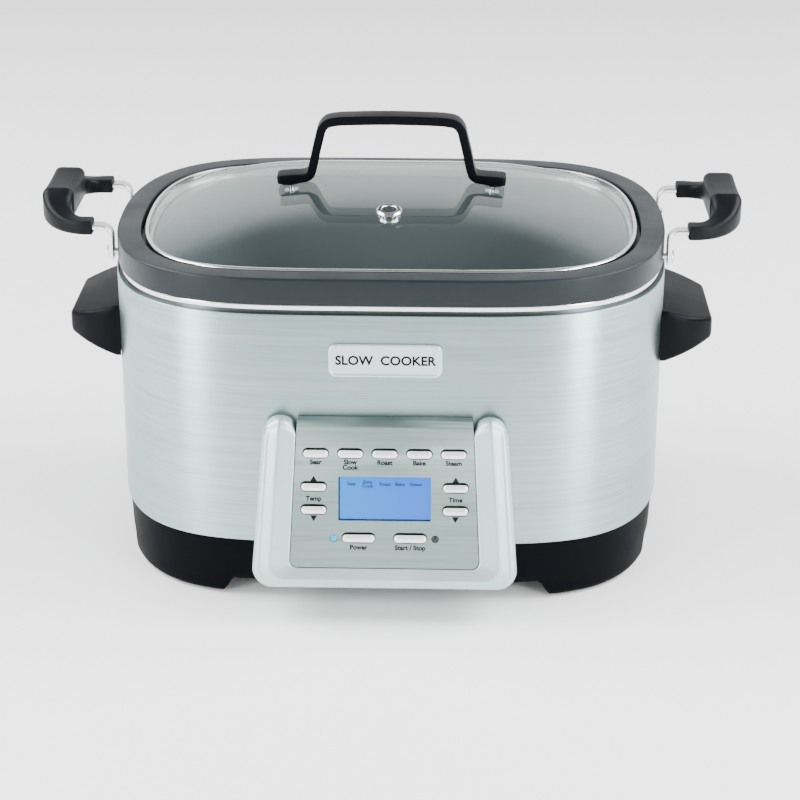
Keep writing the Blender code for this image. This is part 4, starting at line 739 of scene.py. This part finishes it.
def makePlate():
    # a sheet with round foot corners, whose top edge rolls back to the shell
    s = plate
    turn = np.linspace(0, np.pi / 2, 14)
    foot = pack(s["length"] - s["corner"] * (1 - np.cos(turn)), 0, s["corner"] * (1 - np.sin(turn)))
    roll = np.linspace(0, np.pi / 2 - math.asin(panel["sine"]), 16)
    top = pack(s["edge"] + s["curl"] * (1 - np.sin(roll)), -s["curl"] * (1 - np.cos(roll)), 0)
    end = onPanel(0, top[-1, 0], top[-1, 1])
    run = centreY - plan["halfDepth"] - shellShape["standOut"] - 0.5 * mm - end[1]
    level = top[-1:] - np.array([[run * panel["sine"], run * panel["cosine"], 0]]) * [[0.5], [1.0]]
    line = np.concatenate([foot, top, level])
    half = s["topHalf"] + (s["footHalf"] - s["topHalf"]) * line[:, 0] / s["length"] - line[:, 2]
    way = np.gradient(line[:, :2], axis=0)
    way[:14] = [-1, 0]
    way = unit(way)
    inner = line[:, :2] + pack(-way[:, 1], way[:, 0]) * s["sheet"]
    outerRow = [onPanel(side * half, line[:, 0], line[:, 1]) for side in (1, -1)]
    innerRow = [onPanel(side * half, inner[:, 0], inner[:, 1]) for side in (-1, 1)]
    sheet = gridPiece("brushedPlate", np.stack(outerRow + innerRow, 1), steelFlat, sharp=25)
    gap, slot = buttonShape["gap"], buttonShape["slot"]
    holes = []
    for name in buttonNames:
        u, drop, (width, height) = buttonPlace(name)
        width, height = width + 2 * gap, height + 2 * gap + slot
        holes.append((width, height, height / 2, u, drop - slot / 2, 10))
    holes.append((display["width"], display["height"], display["corner"], 0, display["drop"], 6))
    hole = 2 * (lamps["radius"] + lamps["gap"])
    holes += [(hole, hole, hole / 2, side * lamps["u"], lamps["drop"], 10) for side in (-1, 1)]
    through = [(0, -6 * mm), (0, 6 * mm)]
    cutters = [lozengePiece("cut", (width, height), corner, through, panelPlace(u, drop), steelFlat, steps)
               for width, height, corner, u, drop, steps in holes]
    settle(carve(sheet, cutters, 25), "housing", "brushed_steel", "face_plate")


def makeButtons():
    # a pill with a soft crown: the edge rolls over in an arc, then the top rises a little to its middle
    s = buttonShape
    roll, shares = np.linspace(0, np.pi / 2, 8), np.linspace(0, 1, 6)[1:]
    edge, level = s["edge"], s["proud"] - s["crown"]
    for name in buttonNames:
        u, drop, size = buttonPlace(name)
        corner = size[1] / 2
        rows = np.concatenate([
            [(0.25 * mm, -s["depth"]), (0, -s["depth"] + 0.3 * mm)],
            pack(edge * (1 - np.cos(roll)), level - edge * (1 - np.sin(roll))),
            pack(edge + (corner - edge - 0.02 * mm) * shares,
                 level + s["crown"] * np.sin(shares * np.pi / 2))])
        title = titled("cap", name.split("_")[1:])
        cap = lozengePiece(title, size, corner, rows, panelPlace(u, drop), buttonPearl, 14)
        settle(cap, name, "button_plastic", name)


def makeDisplay():
    # the clear lens in the plate's window, and the lit module behind it
    width, height, gap, margin = (display[key] for key in ("width", "height", "gap", "margin"))
    at = panelPlace(0, display["drop"])
    lens, module = (width - 2 * gap, height - 2 * gap), (width + margin, height + margin)
    rows = np.array([(0.2, -2.4), (0, -2.2), (0, -1.1), (0.2, -0.9)]) * mm
    piece = lozengePiece("displayLens", lens, display["corner"], rows, at, windowGlass, 6)
    settle(piece, "housing", "clear_glass", "display_window")
    rows = np.array([(0, -8.1), (0, -2.9), (0.2, -2.7)]) * mm
    piece = lozengePiece("blueDisplay", module, 1 * mm, rows, at, screenBlue, 6)
    settle(piece, "housing", "blue_screen", "display_module")


def makeLamps():
    # a small domed lens: an elliptic arc above a straight stem
    roll = np.linspace(0, np.pi / 2, 9)
    radius, proud, sunk = lamps["radius"], lamps["proud"], 0.4 * mm
    profile = np.concatenate([[(0, -8 * mm), (radius, -8 * mm)],
                              pack(radius * np.cos(roll), -sunk + (proud + sunk) * np.sin(roll))])
    axis = onPanel(0, 0, 1.0) - onPanel(0, 0, 0.0)
    for side, title, node, finish, slotName in ((-1, "lampPower", "led_power", lampBlue, "led_blue"),
                                                (1, "lampStart", "led_start", lampDark, "led_dark")):
        piece = turnedPiece(title, profile, onPanel(side * lamps["u"], lamps["drop"], 0.0), axis, finish, 40)
        settle(piece, "housing", slotName, node)


def wordMesh(text, size, place, thickness, bold):
    # a line of plain lettering, turned into a mesh and laid on a face
    curve = bpy.data.curves.new(text, "FONT")
    curve.body, curve.size, curve.extrude, curve.resolution_u, curve.offset = text, size, 0.0, 4, bold
    curve.align_x, curve.align_y, curve.space_line = "CENTER", "CENTER", 0.82
    holder = linked(text, curve)
    mesh = bpy.data.meshes.new_from_object(holder.evaluated_get(bpy.context.evaluated_depsgraph_get()))
    bpy.data.objects.remove(holder)
    at = np.zeros(len(mesh.vertices) * 3)
    mesh.vertices.foreach_get("co", at)
    at = at.reshape(-1, 3)
    faces = [list(polygon.vertices) for polygon in mesh.polygons]
    work = bmesh.new()
    made = [work.verts.new(point) for point in place(at[:, 0], at[:, 1], 0.0)]
    for face in faces:
        work.faces.new([made[i] for i in face])
    bmesh.ops.remove_doubles(work, verts=work.verts, dist=1e-7)
    bmesh.ops.recalc_face_normals(work, faces=work.faces)
    outward = place(0.0, 0.0, 1.0) - place(0.0, 0.0, 0.0)
    raised = bmesh.ops.extrude_face_region(work, geom=work.faces[:])["geom"]
    lifted = [item for item in raised if isinstance(item, bmesh.types.BMVert)]
    bmesh.ops.translate(work, verts=lifted, vec=Vector(outward) * thickness)
    bmesh.ops.recalc_face_normals(work, faces=work.faces)
    work.to_mesh(mesh)
    work.free()
    return mesh


def joined(name, meshes, finish):
    work = bmesh.new()
    for mesh in meshes:
        work.from_mesh(mesh)
    whole = bpy.data.meshes.new(name)
    work.to_mesh(whole)
    work.free()
    whole.materials.clear()
    whole.materials.append(finish)
    return linked(name, whole)


labels = inMm(
    bold=0.16, size=4.3, ink=0.06, float=0.03, rowDrop=30.6, twoLineDrop=32.2, sideDrop=54.9, footDrop=87.3,
    sideU=46, footU=16.8, screenSize=3.3, screenDrop=45.4, screenBold=0.09, screenInk=0.03, screenLevel=-2.66,
    arrow=4.6,
)


def trianglePiece(u, drop, way):
    # an arrow head pointing up or down, as a thin prism
    side, level = labels["arrow"], labels["float"]
    x, y = np.array([[-side / 2, side / 2, 0], [0, 0, side * 0.85 * way]])
    at = np.concatenate([onPanel(u + x, drop - y, height) for height in (level, level + labels["ink"])])
    work = bmesh.new()
    made = [work.verts.new(point) for point in at]
    for face in ((0, 1, 2), (3, 4, 5), (0, 1, 4, 3), (1, 2, 5, 4), (2, 0, 3, 5)):
        work.faces.new([made[i] for i in face])
    bmesh.ops.recalc_face_normals(work, faces=work.faces)
    mesh = bpy.data.meshes.new("arrow")
    work.to_mesh(mesh)
    work.free()
    return mesh


def makeLabels():
    # the words under the buttons and the arrows beside them, then the row of modes on the display
    s = labels
    row, side, foot = s["rowDrop"], s["sideDrop"], s["footDrop"]
    modes = (("Sear", "sear", row, -21.5), ("Slow\nCook", "slow_cook", s["twoLineDrop"], -11.2),
             ("Roast", "roast", row, 0.2), ("Bake", "bake", row, 9.8), ("Steam", "steam", row, 20.3))
    words = [(text, buttonPlace("button_" + button)[0], drop) for text, button, drop, _ in modes]
    words += [("Temp", -s["sideU"], side), ("Time", s["sideU"], side)]
    words += [("Power", -s["footU"], foot), ("Start / Stop", s["footU"], foot)]
    meshes = []
    for text, u, drop in words:
        at = panelPlace(u, drop, s["float"])
        meshes.append(wordMesh(text, s["size"], at, s["ink"], s["bold"]))
    for what in ("temp", "time"):
        u, up, size = buttonPlace(f"button_{what}_up")
        down, gap = buttonPlace(f"button_{what}_down")[1], size[1] / 2 + 1.0 * mm
        meshes += [trianglePiece(u, up - gap - 0.2 * mm, 1), trianglePiece(u, down + gap, -1)]
    settle(joined("panelWords", meshes, ink), "housing", "black_plastic")
    meshes = []
    for text, _, _, u in modes:
        at = panelPlace(u * mm, s["screenDrop"], s["screenLevel"])
        meshes.append(wordMesh(text, s["screenSize"], at, s["screenInk"], s["screenBold"]))
    settle(joined("displayWords", meshes, screenInk), "housing", "blue_screen")


badge = inMm(
    width=73, height=22.4, corner=5, thick=1.6, field=0.5, textSize=8.6, textThick=0.3, textBold=0.22,
)


def makeBadge():
    # a pillowed plate with a raised border, and plain words for what the appliance is
    s = badge
    low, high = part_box("badge_plate")
    level, field = (low.z + high.z) / 2, s["thick"] - s["field"]
    face = lambda a, b, h: pack(a, high.y - h, level + b)
    edge = [(0.1, -0.35), (0.4, -0.1), (0.8, 0), (1.3, 0), (1.6, -0.12), (1.9, -0.4), (2.3, -0.5),
            (4.0, -0.45)]
    rows = [(0, 0), (0, s["thick"] - 0.75 * mm)]
    rows += [(inset * mm, s["thick"] + fall * mm) for inset, fall in edge]
    board = lozengePiece("badgePlate", (s["width"], s["height"]), s["corner"], rows, face, badgeSilver, 12)
    settle(board, "housing", "silver_plastic", "badge_plate")
    raised = lambda a, b, h: face(a, b, h + field)
    word = wordMesh("SLOW  COOKER", s["textSize"], raised, s["textThick"], s["textBold"])
    settle(joined("badgeWords", [word], ink), "housing", "black_plastic")


makeBezel()
makePlate()
makeButtons()
makeDisplay()
makeLamps()
makeLabels()
makeBadge()
print("control panel made")


potShape = inMm(
    rimWidth=16, rimHeight=17.3, skirt=3.2, ledgeDrop=7.6, inner=25, depth=105.5, wall=3.2, floor=4, taper=7,
    rivetRadius=2, rivetHead=1.6,
)


def makePot():
    # a wide flat rim with a deep outer edge, a ledge for the lid, and a tapered bowl with a round foot
    s = potShape
    top = potHigh.z
    ledge = top - s["ledgeDrop"]
    floor, hem, shoulder = ledge - s["depth"], top - s["rimHeight"], ledge - s["floor"]
    under, rim = floor - s["floor"], -s["rimWidth"]
    inTop, inLow = -s["inner"], -s["inner"] - s["taper"]
    outTop, outLow = inTop + s["wall"], inLow + s["wall"]
    corners = [(inLow - 16 * mm, floor), (inLow, floor), (inTop, ledge), (rim, ledge), (rim, top), (0, top),
               (0, hem), (-s["skirt"], hem), (-s["skirt"], shoulder), (outTop, shoulder), (outLow, under),
               (outLow - 14 * mm, under)]
    profile = rounded(corners, [0, 14, 1.6, 0.8, 1.1, 1.5, 0.4, 0.4, 1, 1, 12, 0], 8, closed=False)
    settle(gridPiece("castPot", ringsOf(profile), rimCoat, sharp=40), "pot", "pot_coating", "cooking_pot")


strap = inMm(width=10, thick=3, span=47, level=232, foot=209.5, bend=7, gripStart=198.5, edge=0.7)
grip = inMm(
    reach=225.3, corner=22, armWide=13, armTall=9.6, barWide=21, barTall=22, lift=8, armEdge=1.8,
    edgeGrowth=3, dish=0.9,
)


def gripLine():
    # the arm, a quarter turn and half the hand bar, then the same mirrored to the front;
    # with each point's share of the way from arm to bar
    y, radius = strap["span"], grip["corner"]
    start = grip["reach"] - radius
    turn = np.linspace(np.pi / 2, 0, 22)[1:]
    half = np.concatenate([
        pack(np.linspace(strap["gripStart"], start, 8), y),
        pack(start + radius * np.cos(turn), y - radius + radius * np.sin(turn)),
        pack(grip["reach"], np.linspace(y - radius, 0, 10)[1:])])
    share = np.concatenate([np.zeros(8), np.linspace(0, 1, 22)[1:], np.ones(9)])
    return np.concatenate([half, half[-2::-1] * [1, -1]]), np.concatenate([share, share[-2::-1]])


def makeStrap(name, side):
    # up from the rim's edge, through a bend, out along the grip's line, and down again
    low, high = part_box(name)
    s = strap
    faceX = min(abs(low.x), abs(high.x)) + s["thick"] / 2
    turn = np.linspace(np.pi, np.pi / 2, 14)
    down = pack(faceX, s["span"], np.linspace(s["foot"], s["level"] - s["bend"], 9)[:-1])
    bend = pack(faceX + s["bend"] * (1 + np.cos(turn)), s["span"],
                s["level"] + s["bend"] * (np.sin(turn) - 1))
    rise = np.concatenate([down, bend])
    flat = gripLine()[0]
    whole = np.concatenate([rise, pack(flat[:, 0], flat[:, 1], s["level"]), rise[::-1] * [1, -1, 1]])
    tangent = unit(np.gradient(whole, axis=0))
    count = len(rise)
    middle = unit(np.cross(tangent[count:count + len(flat)], [0, 0, 1.0]))
    middle *= np.sign(middle[0, 1])
    ways = np.concatenate([np.tile([0, 1.0, 0], (count, 1)), middle, np.tile(middle[-1], (count, 1))])
    centres, spokes = roundRectangle(s["width"] / 2, s["thick"] / 2, s["edge"], 4)
    flip = np.array([side, 1, 1])
    piece = sweepPiece(sided("steelStrap", side), whole * flip + [0, centreY, 0], ways * flip,
                       unit(np.cross(ways, tangent)) * flip, centres + spokes * s["edge"], satinStrap)
    settle(piece, "pot", "polished_steel", name)


def taperEnds(section, shares):
    # the first and last sections drawn in, the outermost most
    shares = np.array(shares)[:, None, None]
    section[:3] *= shares
    section[-3:] *= shares[::-1]


def makeGrip(name, side):
    # the sleeve grows from a flat arm to a tall bar through the corner, round-edged all along
    s = grip
    flat, share = gripLine()
    ease = np.clip((share - 0.15) / 0.85, 0, 1) ** 1.7
    wide = s["armWide"] + (s["barWide"] - s["armWide"]) * ease
    tall = s["armTall"] + (s["barTall"] - s["armTall"]) * ease
    dish = s["dish"] * (1 - np.clip(np.abs(flat[:, 1]) / (strap["span"] - s["corner"]), 0, 1) ** 2)
    path = pack(flat[:, 0], flat[:, 1], strap["level"] + s["lift"] * ease - dish * 0.5)
    tangent = unit(np.gradient(pack(flat[:, 0], flat[:, 1], 0.0), axis=0))
    up = np.tile([0, 0, 1.0], (len(path), 1))
    section = []
    for w, t, edge in zip(wide, tall - dish, s["armEdge"] + s["edgeGrowth"] * share):
        centres, spokes = roundRectangle(w / 2, t / 2, edge, 6)
        section.append(centres + spokes * edge)
    section = np.stack(section)
    taperEnds(section, [0.80, 0.93, 1.0])
    for i, shift in enumerate((0, 0.35, 1.1)):
        path[i, 0] = path[-1 - i, 0] = strap["gripStart"] + shift * mm
    flip = np.array([side, 1, 1])
    piece = sweepPiece(sided("softGrip", side), path * flip + [0, centreY, 0],
                       np.cross(tangent, up) * flip, up, section, silicone, sharp=50)
    settle(piece, "pot", "black_silicone", name)


def makeRivet(name):
    # a flat-domed head outside the strap and a shank through to the rim
    low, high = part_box(name)
    side = 1 if high.x > 0 else -1
    outer, length = (high.x if side > 0 else low.x), high.x - low.x
    radius, shank, thick = (high.y - low.y) / 2, potShape["rivetRadius"], potShape["rivetHead"]
    dome, back = np.linspace(0, np.pi / 2, 9), -thick - 0.02 * mm
    profile = np.concatenate([[(0, -length), (shank, -length), (shank, back), (radius, back)],
                              pack(radius * np.cos(dome) ** 0.8, -thick + thick * np.sin(dome))])
    base = [outer, (low.y + high.y) / 2, (low.z + high.z) / 2]
    piece = turnedPiece(titled("rivet", name.split("_")[2:]), profile, base, [side, 0, 0], polished, 40)
    settle(piece, "pot", "polished_steel", name)


makePot()
for potSide, word in ((-1, "left"), (1, "right")):
    makeStrap("pot_strap_" + word, potSide)
    makeGrip("pot_grip_" + word, potSide)
for nodeName in list(nodes):
    if nodeName.startswith("pot_rivet"):
        makeRivet(nodeName)
print("pot made")


lid = inMm(
    sideGap=2.6, sheet=0.8, topLip=2.6, footLip=5.5, glass=4, rise=26.3, gap=0.3, screwX=69, screwHole=2.3,
    ventY=57, ventHole=6.5,
)
lidPower = 2.6
lidEdge = -(potShape["rimWidth"] + lid["sideGap"] + lid["sheet"] + lid["gap"])
bandLow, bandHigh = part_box("lid_band")
domeTop = bandLow.z + lid["sheet"] + lid["gap"] + lid["glass"] + lid["rise"]
glassHalf = (plan["halfWidth"] + lidEdge, plan["halfDepth"] + lidEdge)


def domeAt(share):
    return domeTop - lid["rise"] * share ** lidPower


def tiltAt(distance, half):
    return math.atan(lid["rise"] * lidPower * (distance / half) ** (lidPower - 1) / half)


def screwLine(side):
    # where a handle screw crosses the glass's top, and the way the glass faces there
    tilt = tiltAt(lid["screwX"], glassHalf[0])
    at = np.array([side * lid["screwX"], centreY, domeAt(lid["screwX"] / glassHalf[0])])
    return at, np.array([side * math.sin(tilt), 0, math.cos(tilt)])


def ventLine():
    tilt = tiltAt(lid["ventY"], glassHalf[1])
    at = np.array([0, centreY - lid["ventY"], domeAt(lid["ventY"] / glassHalf[1]) - lid["glass"] / 2])
    return at, np.array([0, -math.sin(tilt), math.cos(tilt)])


def makeGlass():
    # rings of the outline scaled towards the middle; the height falls with the share to a power
    edge = outlineAt + outlineNormal * lidEdge
    shares = np.concatenate([[0.004], np.linspace(0.04, 0.985, 46), [0.996, 1.0]])
    flat = edge[None] * shares[:, None, None]
    top = pack(flat[..., 0], flat[..., 1] + centreY, domeAt(shares)[:, None])
    under = top[::-1] - [0, 0, lid["glass"]]
    piece = gridPiece("lidGlass", np.concatenate([top, under]), glass, sharp=50)
    cutters = [drilled(lid["ventHole"], -15 * mm, 15 * mm, *ventLine(), glass, 48)]
    cutters += [drilled(lid["screwHole"], -12 * mm, 12 * mm, *screwLine(side), glass, 24) for side in (-1, 1)]
    settle(carve(piece, cutters, 50), "lid", "clear_glass", "lid_glass")


def makeBand():
    # a folded channel round the glass's edge, open inwards
    s = lid
    outer = -(potShape["rimWidth"] + s["sideGap"])
    low, high, sheet = bandLow.z, bandHigh.z, s["sheet"]
    lip, foot, web = outer - s["topLip"], outer - s["footLip"], outer - sheet
    corners = [(outer, low), (outer, high), (lip, high), (lip, high - sheet), (web, high - sheet),
               (web, low + sheet), (foot, low + sheet), (foot, low)]
    profile = rounded(corners, [0.4, 1.4, 0.25, 0.25, 0, 0.3, 0.25, 0.25], 7)
    settle(wrapPiece("lidBand", profile, polished), "lid", "polished_steel", "lid_band")


def makeVent():
    # an eyelet: a barrel with a flange above the glass and one below
    bore, barrel, flange, thick = 5 * mm, 6.2 * mm, 8.6 * mm, lid["glass"] / 2
    seat, reach = thick + 0.5 * mm, thick + 1.3 * mm
    corners = [(bore, reach + 0.7 * mm), (bore + 2.2 * mm, reach + 0.7 * mm), (flange, reach - 0.4 * mm),
               (flange, seat), (barrel, seat), (barrel, -seat), (flange - 1 * mm, -seat),
               (flange - 1.6 * mm, -reach), (bore, -reach)]
    profile = rounded(corners, [0.7, 0.8, 0.25, 0, 0, 0, 0.2, 0.3, 0.3], 6)
    piece = turnedPiece("steamVent", profile, *ventLine(), polished, 72, hollow=True)
    settle(piece, "lid", "polished_steel", "steam_vent")


lidHandle = inMm(depth=16, thick=6, top=298, footEnd=77.5, footInner=58, gasket=1.2, edge=0.9)


def smoothLine(points, count):
    # a centripetal Catmull-Rom line through the points, stepped evenly
    points = np.asarray(points, float)
    padded = np.concatenate([2 * points[:1] - points[1:2], points, 2 * points[-1:] - points[-2:-1]])
    pieces = []
    for a, b, c, d in zip(padded, padded[1:], padded[2:], padded[3:]):
        t1 = np.linalg.norm(b - a) ** 0.5
        t2 = t1 + np.linalg.norm(c - b) ** 0.5
        t3 = t2 + np.linalg.norm(d - c) ** 0.5
        t = np.linspace(t1, t2, 24, endpoint=False)[:, None]
        ab, bc = a + (b - a) * t / t1, b + (c - b) * (t - t1) / (t2 - t1)
        cd = c + (d - c) * (t - t2) / (t3 - t2)
        abc, bcd = ab + (bc - ab) * t / t2, bc + (cd - bc) * (t - t1) / (t3 - t1)
        pieces.append(abc + (bcd - abc) * (t - t1) / (t2 - t1))
    line = np.concatenate(pieces + [points[-1:]])
    return pointsAt(line, np.linspace(0, travelled(line)[-1], count))


def makeLidHandle():
    # a bent strap: flat feet on the glass, steep legs, and a long slightly bowed top
    s = lidHandle
    base, axis = screwLine(1)
    along = np.array([-axis[2], 0, axis[0]])
    centre = base + axis * (s["gasket"] + 2 * lid["gap"] + s["thick"] / 2)
    footEnd = centre - along * (s["footEnd"] - lid["screwX"] - 0.2 * mm)
    toe = centre + along * (lid["screwX"] - s["footInner"])
    crown = s["top"] - s["thick"] / 2 - 0.05 * mm
    legs = [(55.4, 2), (53.6, 7), (51.2, 18)]
    bow = [(48.6, 12), (47.2, 7), (44, 3), (38, 1.3), (20, 0.35), (0, 0)]
    line = [(at[0], at[2]) for at in (footEnd, centre, toe)]
    line += [(x * mm, toe[2] + rise * mm) for x, rise in legs]
    half = smoothLine(line + [(x * mm, crown - fall * mm) for x, fall in bow], 120)
    whole = np.concatenate([half, half[-2::-1] * [-1, 1]])
    path = pack(whole[:, 0], centreY, whole[:, 1])
    across = np.tile([0, 1.0, 0], (len(path), 1))
    up = np.cross(across, unit(np.gradient(path, axis=0)))
    centres, spokes = roundRectangle(s["depth"] / 2, s["thick"] / 2, s["edge"], 6)
    section = np.tile(centres + spokes * s["edge"], (len(path), 1, 1))
    taperEnds(section, [0.86, 0.95, 0.99])
    piece = sweepPiece("lidHandle", path, across, up, section, handlePlastic, sharp=45)
    settle(piece, "lid", "black_plastic", "lid_handle")


def makeLidFixings():
    # screws with a domed head under the glass, and a ring gasket above it
    under, head, radius, shank = lid["glass"] + 0.3 * mm, 2.3 * mm, 5 * mm, 2 * mm
    dome, step = np.linspace(0, np.pi / 2, 8), 0.2 * mm
    profile = np.concatenate([
        [(0, 5 * mm), (shank, 5 * mm), (shank, -under), (radius, -under)],
        pack(radius * np.cos(dome) ** 0.7, -under - step - (head - step) * np.sin(dome))])
    ring = rounded(np.array([(2.3, 0.3), (7, 0.3), (7, 1.5), (2.3, 1.5)]) * mm, [0, 0.4, 0.4, 0], 5)
    for side, word in ((-1, "left"), (1, "right")):
        line = screwLine(side)
        screw = turnedPiece(sided("lidScrew", side), profile, *line, polished, 40)
        settle(screw, "lid", "polished_steel", "lid_screw_" + word)
        gasket = turnedPiece(sided("handleGasket", side), ring, *line, silicone, 48, hollow=True)
        settle(gasket, "lid", "black_silicone", "handle_gasket_" + word)


makeGlass()
makeBand()
makeVent()
makeLidHandle()
makeLidFixings()
print("lid made")


def makeFeet():
    # a short rubber pad with a rounded foot edge and a shallow hollow underneath
    turn, edge, hollow = np.linspace(0, np.pi / 2, 6), 0.6 * mm, 0.3 * mm
    for name in [n for n in nodes if n.startswith("foot_pad")]:
        low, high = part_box(name)
        radius, tall = (high.x - low.x) / 2, high.z - low.z
        profile = np.concatenate([
            [(0, tall), (radius, tall)], pack(radius - edge * (1 - np.cos(turn)), edge * (1 - np.sin(turn))),
            [(radius * 0.55, 0), (radius * 0.5, hollow), (0, hollow)]])
        centre = [(low.x + high.x) / 2, (low.y + high.y) / 2, low.z]
        foot = turnedPiece("rubberFoot" + name[-1], profile, centre, [0, 0, 1], silicone, 48)
        settle(foot, "housing", "black_silicone", name)


def makeGland():
    # a bush with a groove that the base's wall sits in
    low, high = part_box("cord_gland")
    face = centreY + plan["halfDepth"] - baseShape["setBack"]
    reach, inside = high.y - face, low.y - face
    bore, bush, flange = 4 * mm, 6.2 * mm, 8.5 * mm
    corners = [(bore, reach), (bore + 1.6 * mm, reach), (bush, 2.5 * mm), (flange, 2.5 * mm),
               (flange, 0.8 * mm), (bush, 0.8 * mm), (bush, inside), (bore, inside)]
    profile = rounded(corners, [0.5, 0.7, 0.6, 0.6, 0.3, 0, 0, 0.4], 5)
    centre = [0, face, (low.z + high.z) / 2]
    piece = turnedPiece("cordGland", profile, centre, [0, 1, 0], silicone, 64, hollow=True)
    settle(piece, "housing", "black_plastic", "cord_gland")


keptFinishes = dict(
    heat_shield=millAluminium, heater_plate=millAluminium, heating_tube=satinStrap,
    temperature_probe=polished, probe_spring=polished, power_board=boardGreen, control_board=boardGreen,
)


def finishKept():
    for name, node in nodes.items():
        finish = polished if name.startswith("base_screw") else keptFinishes.get(name)
        if finish and not node.hide_render:
            node.data.materials.clear()
            node.data.materials.append(finish)


makeFeet()
makeGland()
finishKept()
print("small parts made")


studio = dict(
    floor=(0.93, 0.93, 0.93), horizon=1.6, zenith=0.3, sides=0.2, front=0.2, azimuth=1.7, elevation=23.0,
    distance=1.581, aim=76.6 * mm, lens=99.6, shiftX=0.0103, shiftY=0.019,
    lights=(
        ("leftOverhead", (-1.7, 0.1, 1.7), (1.6, 1.6), 125),
        ("rightOverhead", (1.7, 0.1, 1.7), (1.6, 1.6), 125),
        ("leftPanel", (-1.35, -1.35, 0.62), (0.55, 1.2), 34),
        ("rightPanel", (1.35, -1.35, 0.62), (0.55, 1.2), 44),
    ),
)


def makeSky():
    # bright behind and to the front corners, darker straight ahead, at the sides and overhead:
    # one smooth step along each axis of the view direction, multiplied together
    world = bpy.data.worlds.new("studio")
    world.use_nodes = True
    tree = world.node_tree
    where, parts = tree.nodes.new("ShaderNodeTexCoord"), tree.nodes.new("ShaderNodeSeparateXYZ")
    side, sky = tree.nodes.new("ShaderNodeMath"), tree.nodes["Background"]
    side.operation = "ABSOLUTE"
    tree.links.new(where.outputs["Generated"], parts.inputs[0])
    tree.links.new(parts.outputs["X"], side.inputs[0])
    strength = None
    for source, fromLow, fromHigh, toLow, toHigh in (
        (parts.outputs["Z"], 0.45, 0.80, studio["horizon"], studio["zenith"]),
        (side.outputs[0], 0.60, 0.95, 1.0, studio["sides"]),
        (parts.outputs["Y"], -0.97, -0.70, studio["front"], 1.0),
    ):
        tone, product = tree.nodes.new("ShaderNodeMapRange"), tree.nodes.new("ShaderNodeMath")
        tone.interpolation_type, product.operation = "SMOOTHSTEP", "MULTIPLY"
        ends = ("From Min", "From Max", "To Min", "To Max")
        for label, value in zip(ends, (fromLow, fromHigh, toLow, toHigh)):
            tone.inputs[label].default_value = value
        tree.links.new(source, tone.inputs["Value"])
        tree.links.new(tone.outputs["Result"], product.inputs[0])
        product.inputs[1].default_value = 1.0
        if strength:
            tree.links.new(strength, product.inputs[1])
        strength = product.outputs[0]
    tree.links.new(strength, sky.inputs["Strength"])
    sky.inputs["Color"].default_value = (1, 1, 1, 1)
    bpy.context.scene.world = world


def makeStudio():
    ground = bpy.data.meshes.new("floor")
    ground.from_pydata([(-6, -6, 0), (6, -6, 0), (6, 6, 0), (-6, 6, 0)], [], [(0, 1, 2, 3)])
    floor = linked("floor", ground)
    pale = Finish("paleFloor", studio["floor"], 0.6)
    pale.feed("Roughness", pale.between(pale.noise(40), 0.55, 0.65))
    ground.materials.append(pale.material)
    makeSky()
    for name, place, size, power in studio["lights"]:
        light = bpy.data.lights.new(name, "AREA")
        light.shape, light.size, light.size_y, light.energy = "RECTANGLE", size[0], size[1], power
        holder = linked(name, light)
        holder.location = place
        way = Vector((0, centreY, 0.12)) - Vector(place)
        holder.rotation_euler = way.to_track_quat("-Z", "Y").to_euler()


def makeCamera():
    s = studio
    turn, lift = math.radians(s["azimuth"]), math.radians(s["elevation"])
    back = Vector((math.sin(turn) * math.cos(lift), -math.cos(turn) * math.cos(lift), math.sin(lift)))
    data = bpy.data.cameras.new("camera")
    data.lens, data.sensor_width, data.shift_x, data.shift_y = s["lens"], 36, s["shiftX"], s["shiftY"]
    camera = linked("camera", data)
    camera.location = Vector((0, centreY, s["aim"])) + back * s["distance"]
    camera.rotation_euler = back.to_track_quat("Z", "Y").to_euler()
    bpy.context.scene.camera = camera


makeStudio()
makeCamera()
print("studio made")
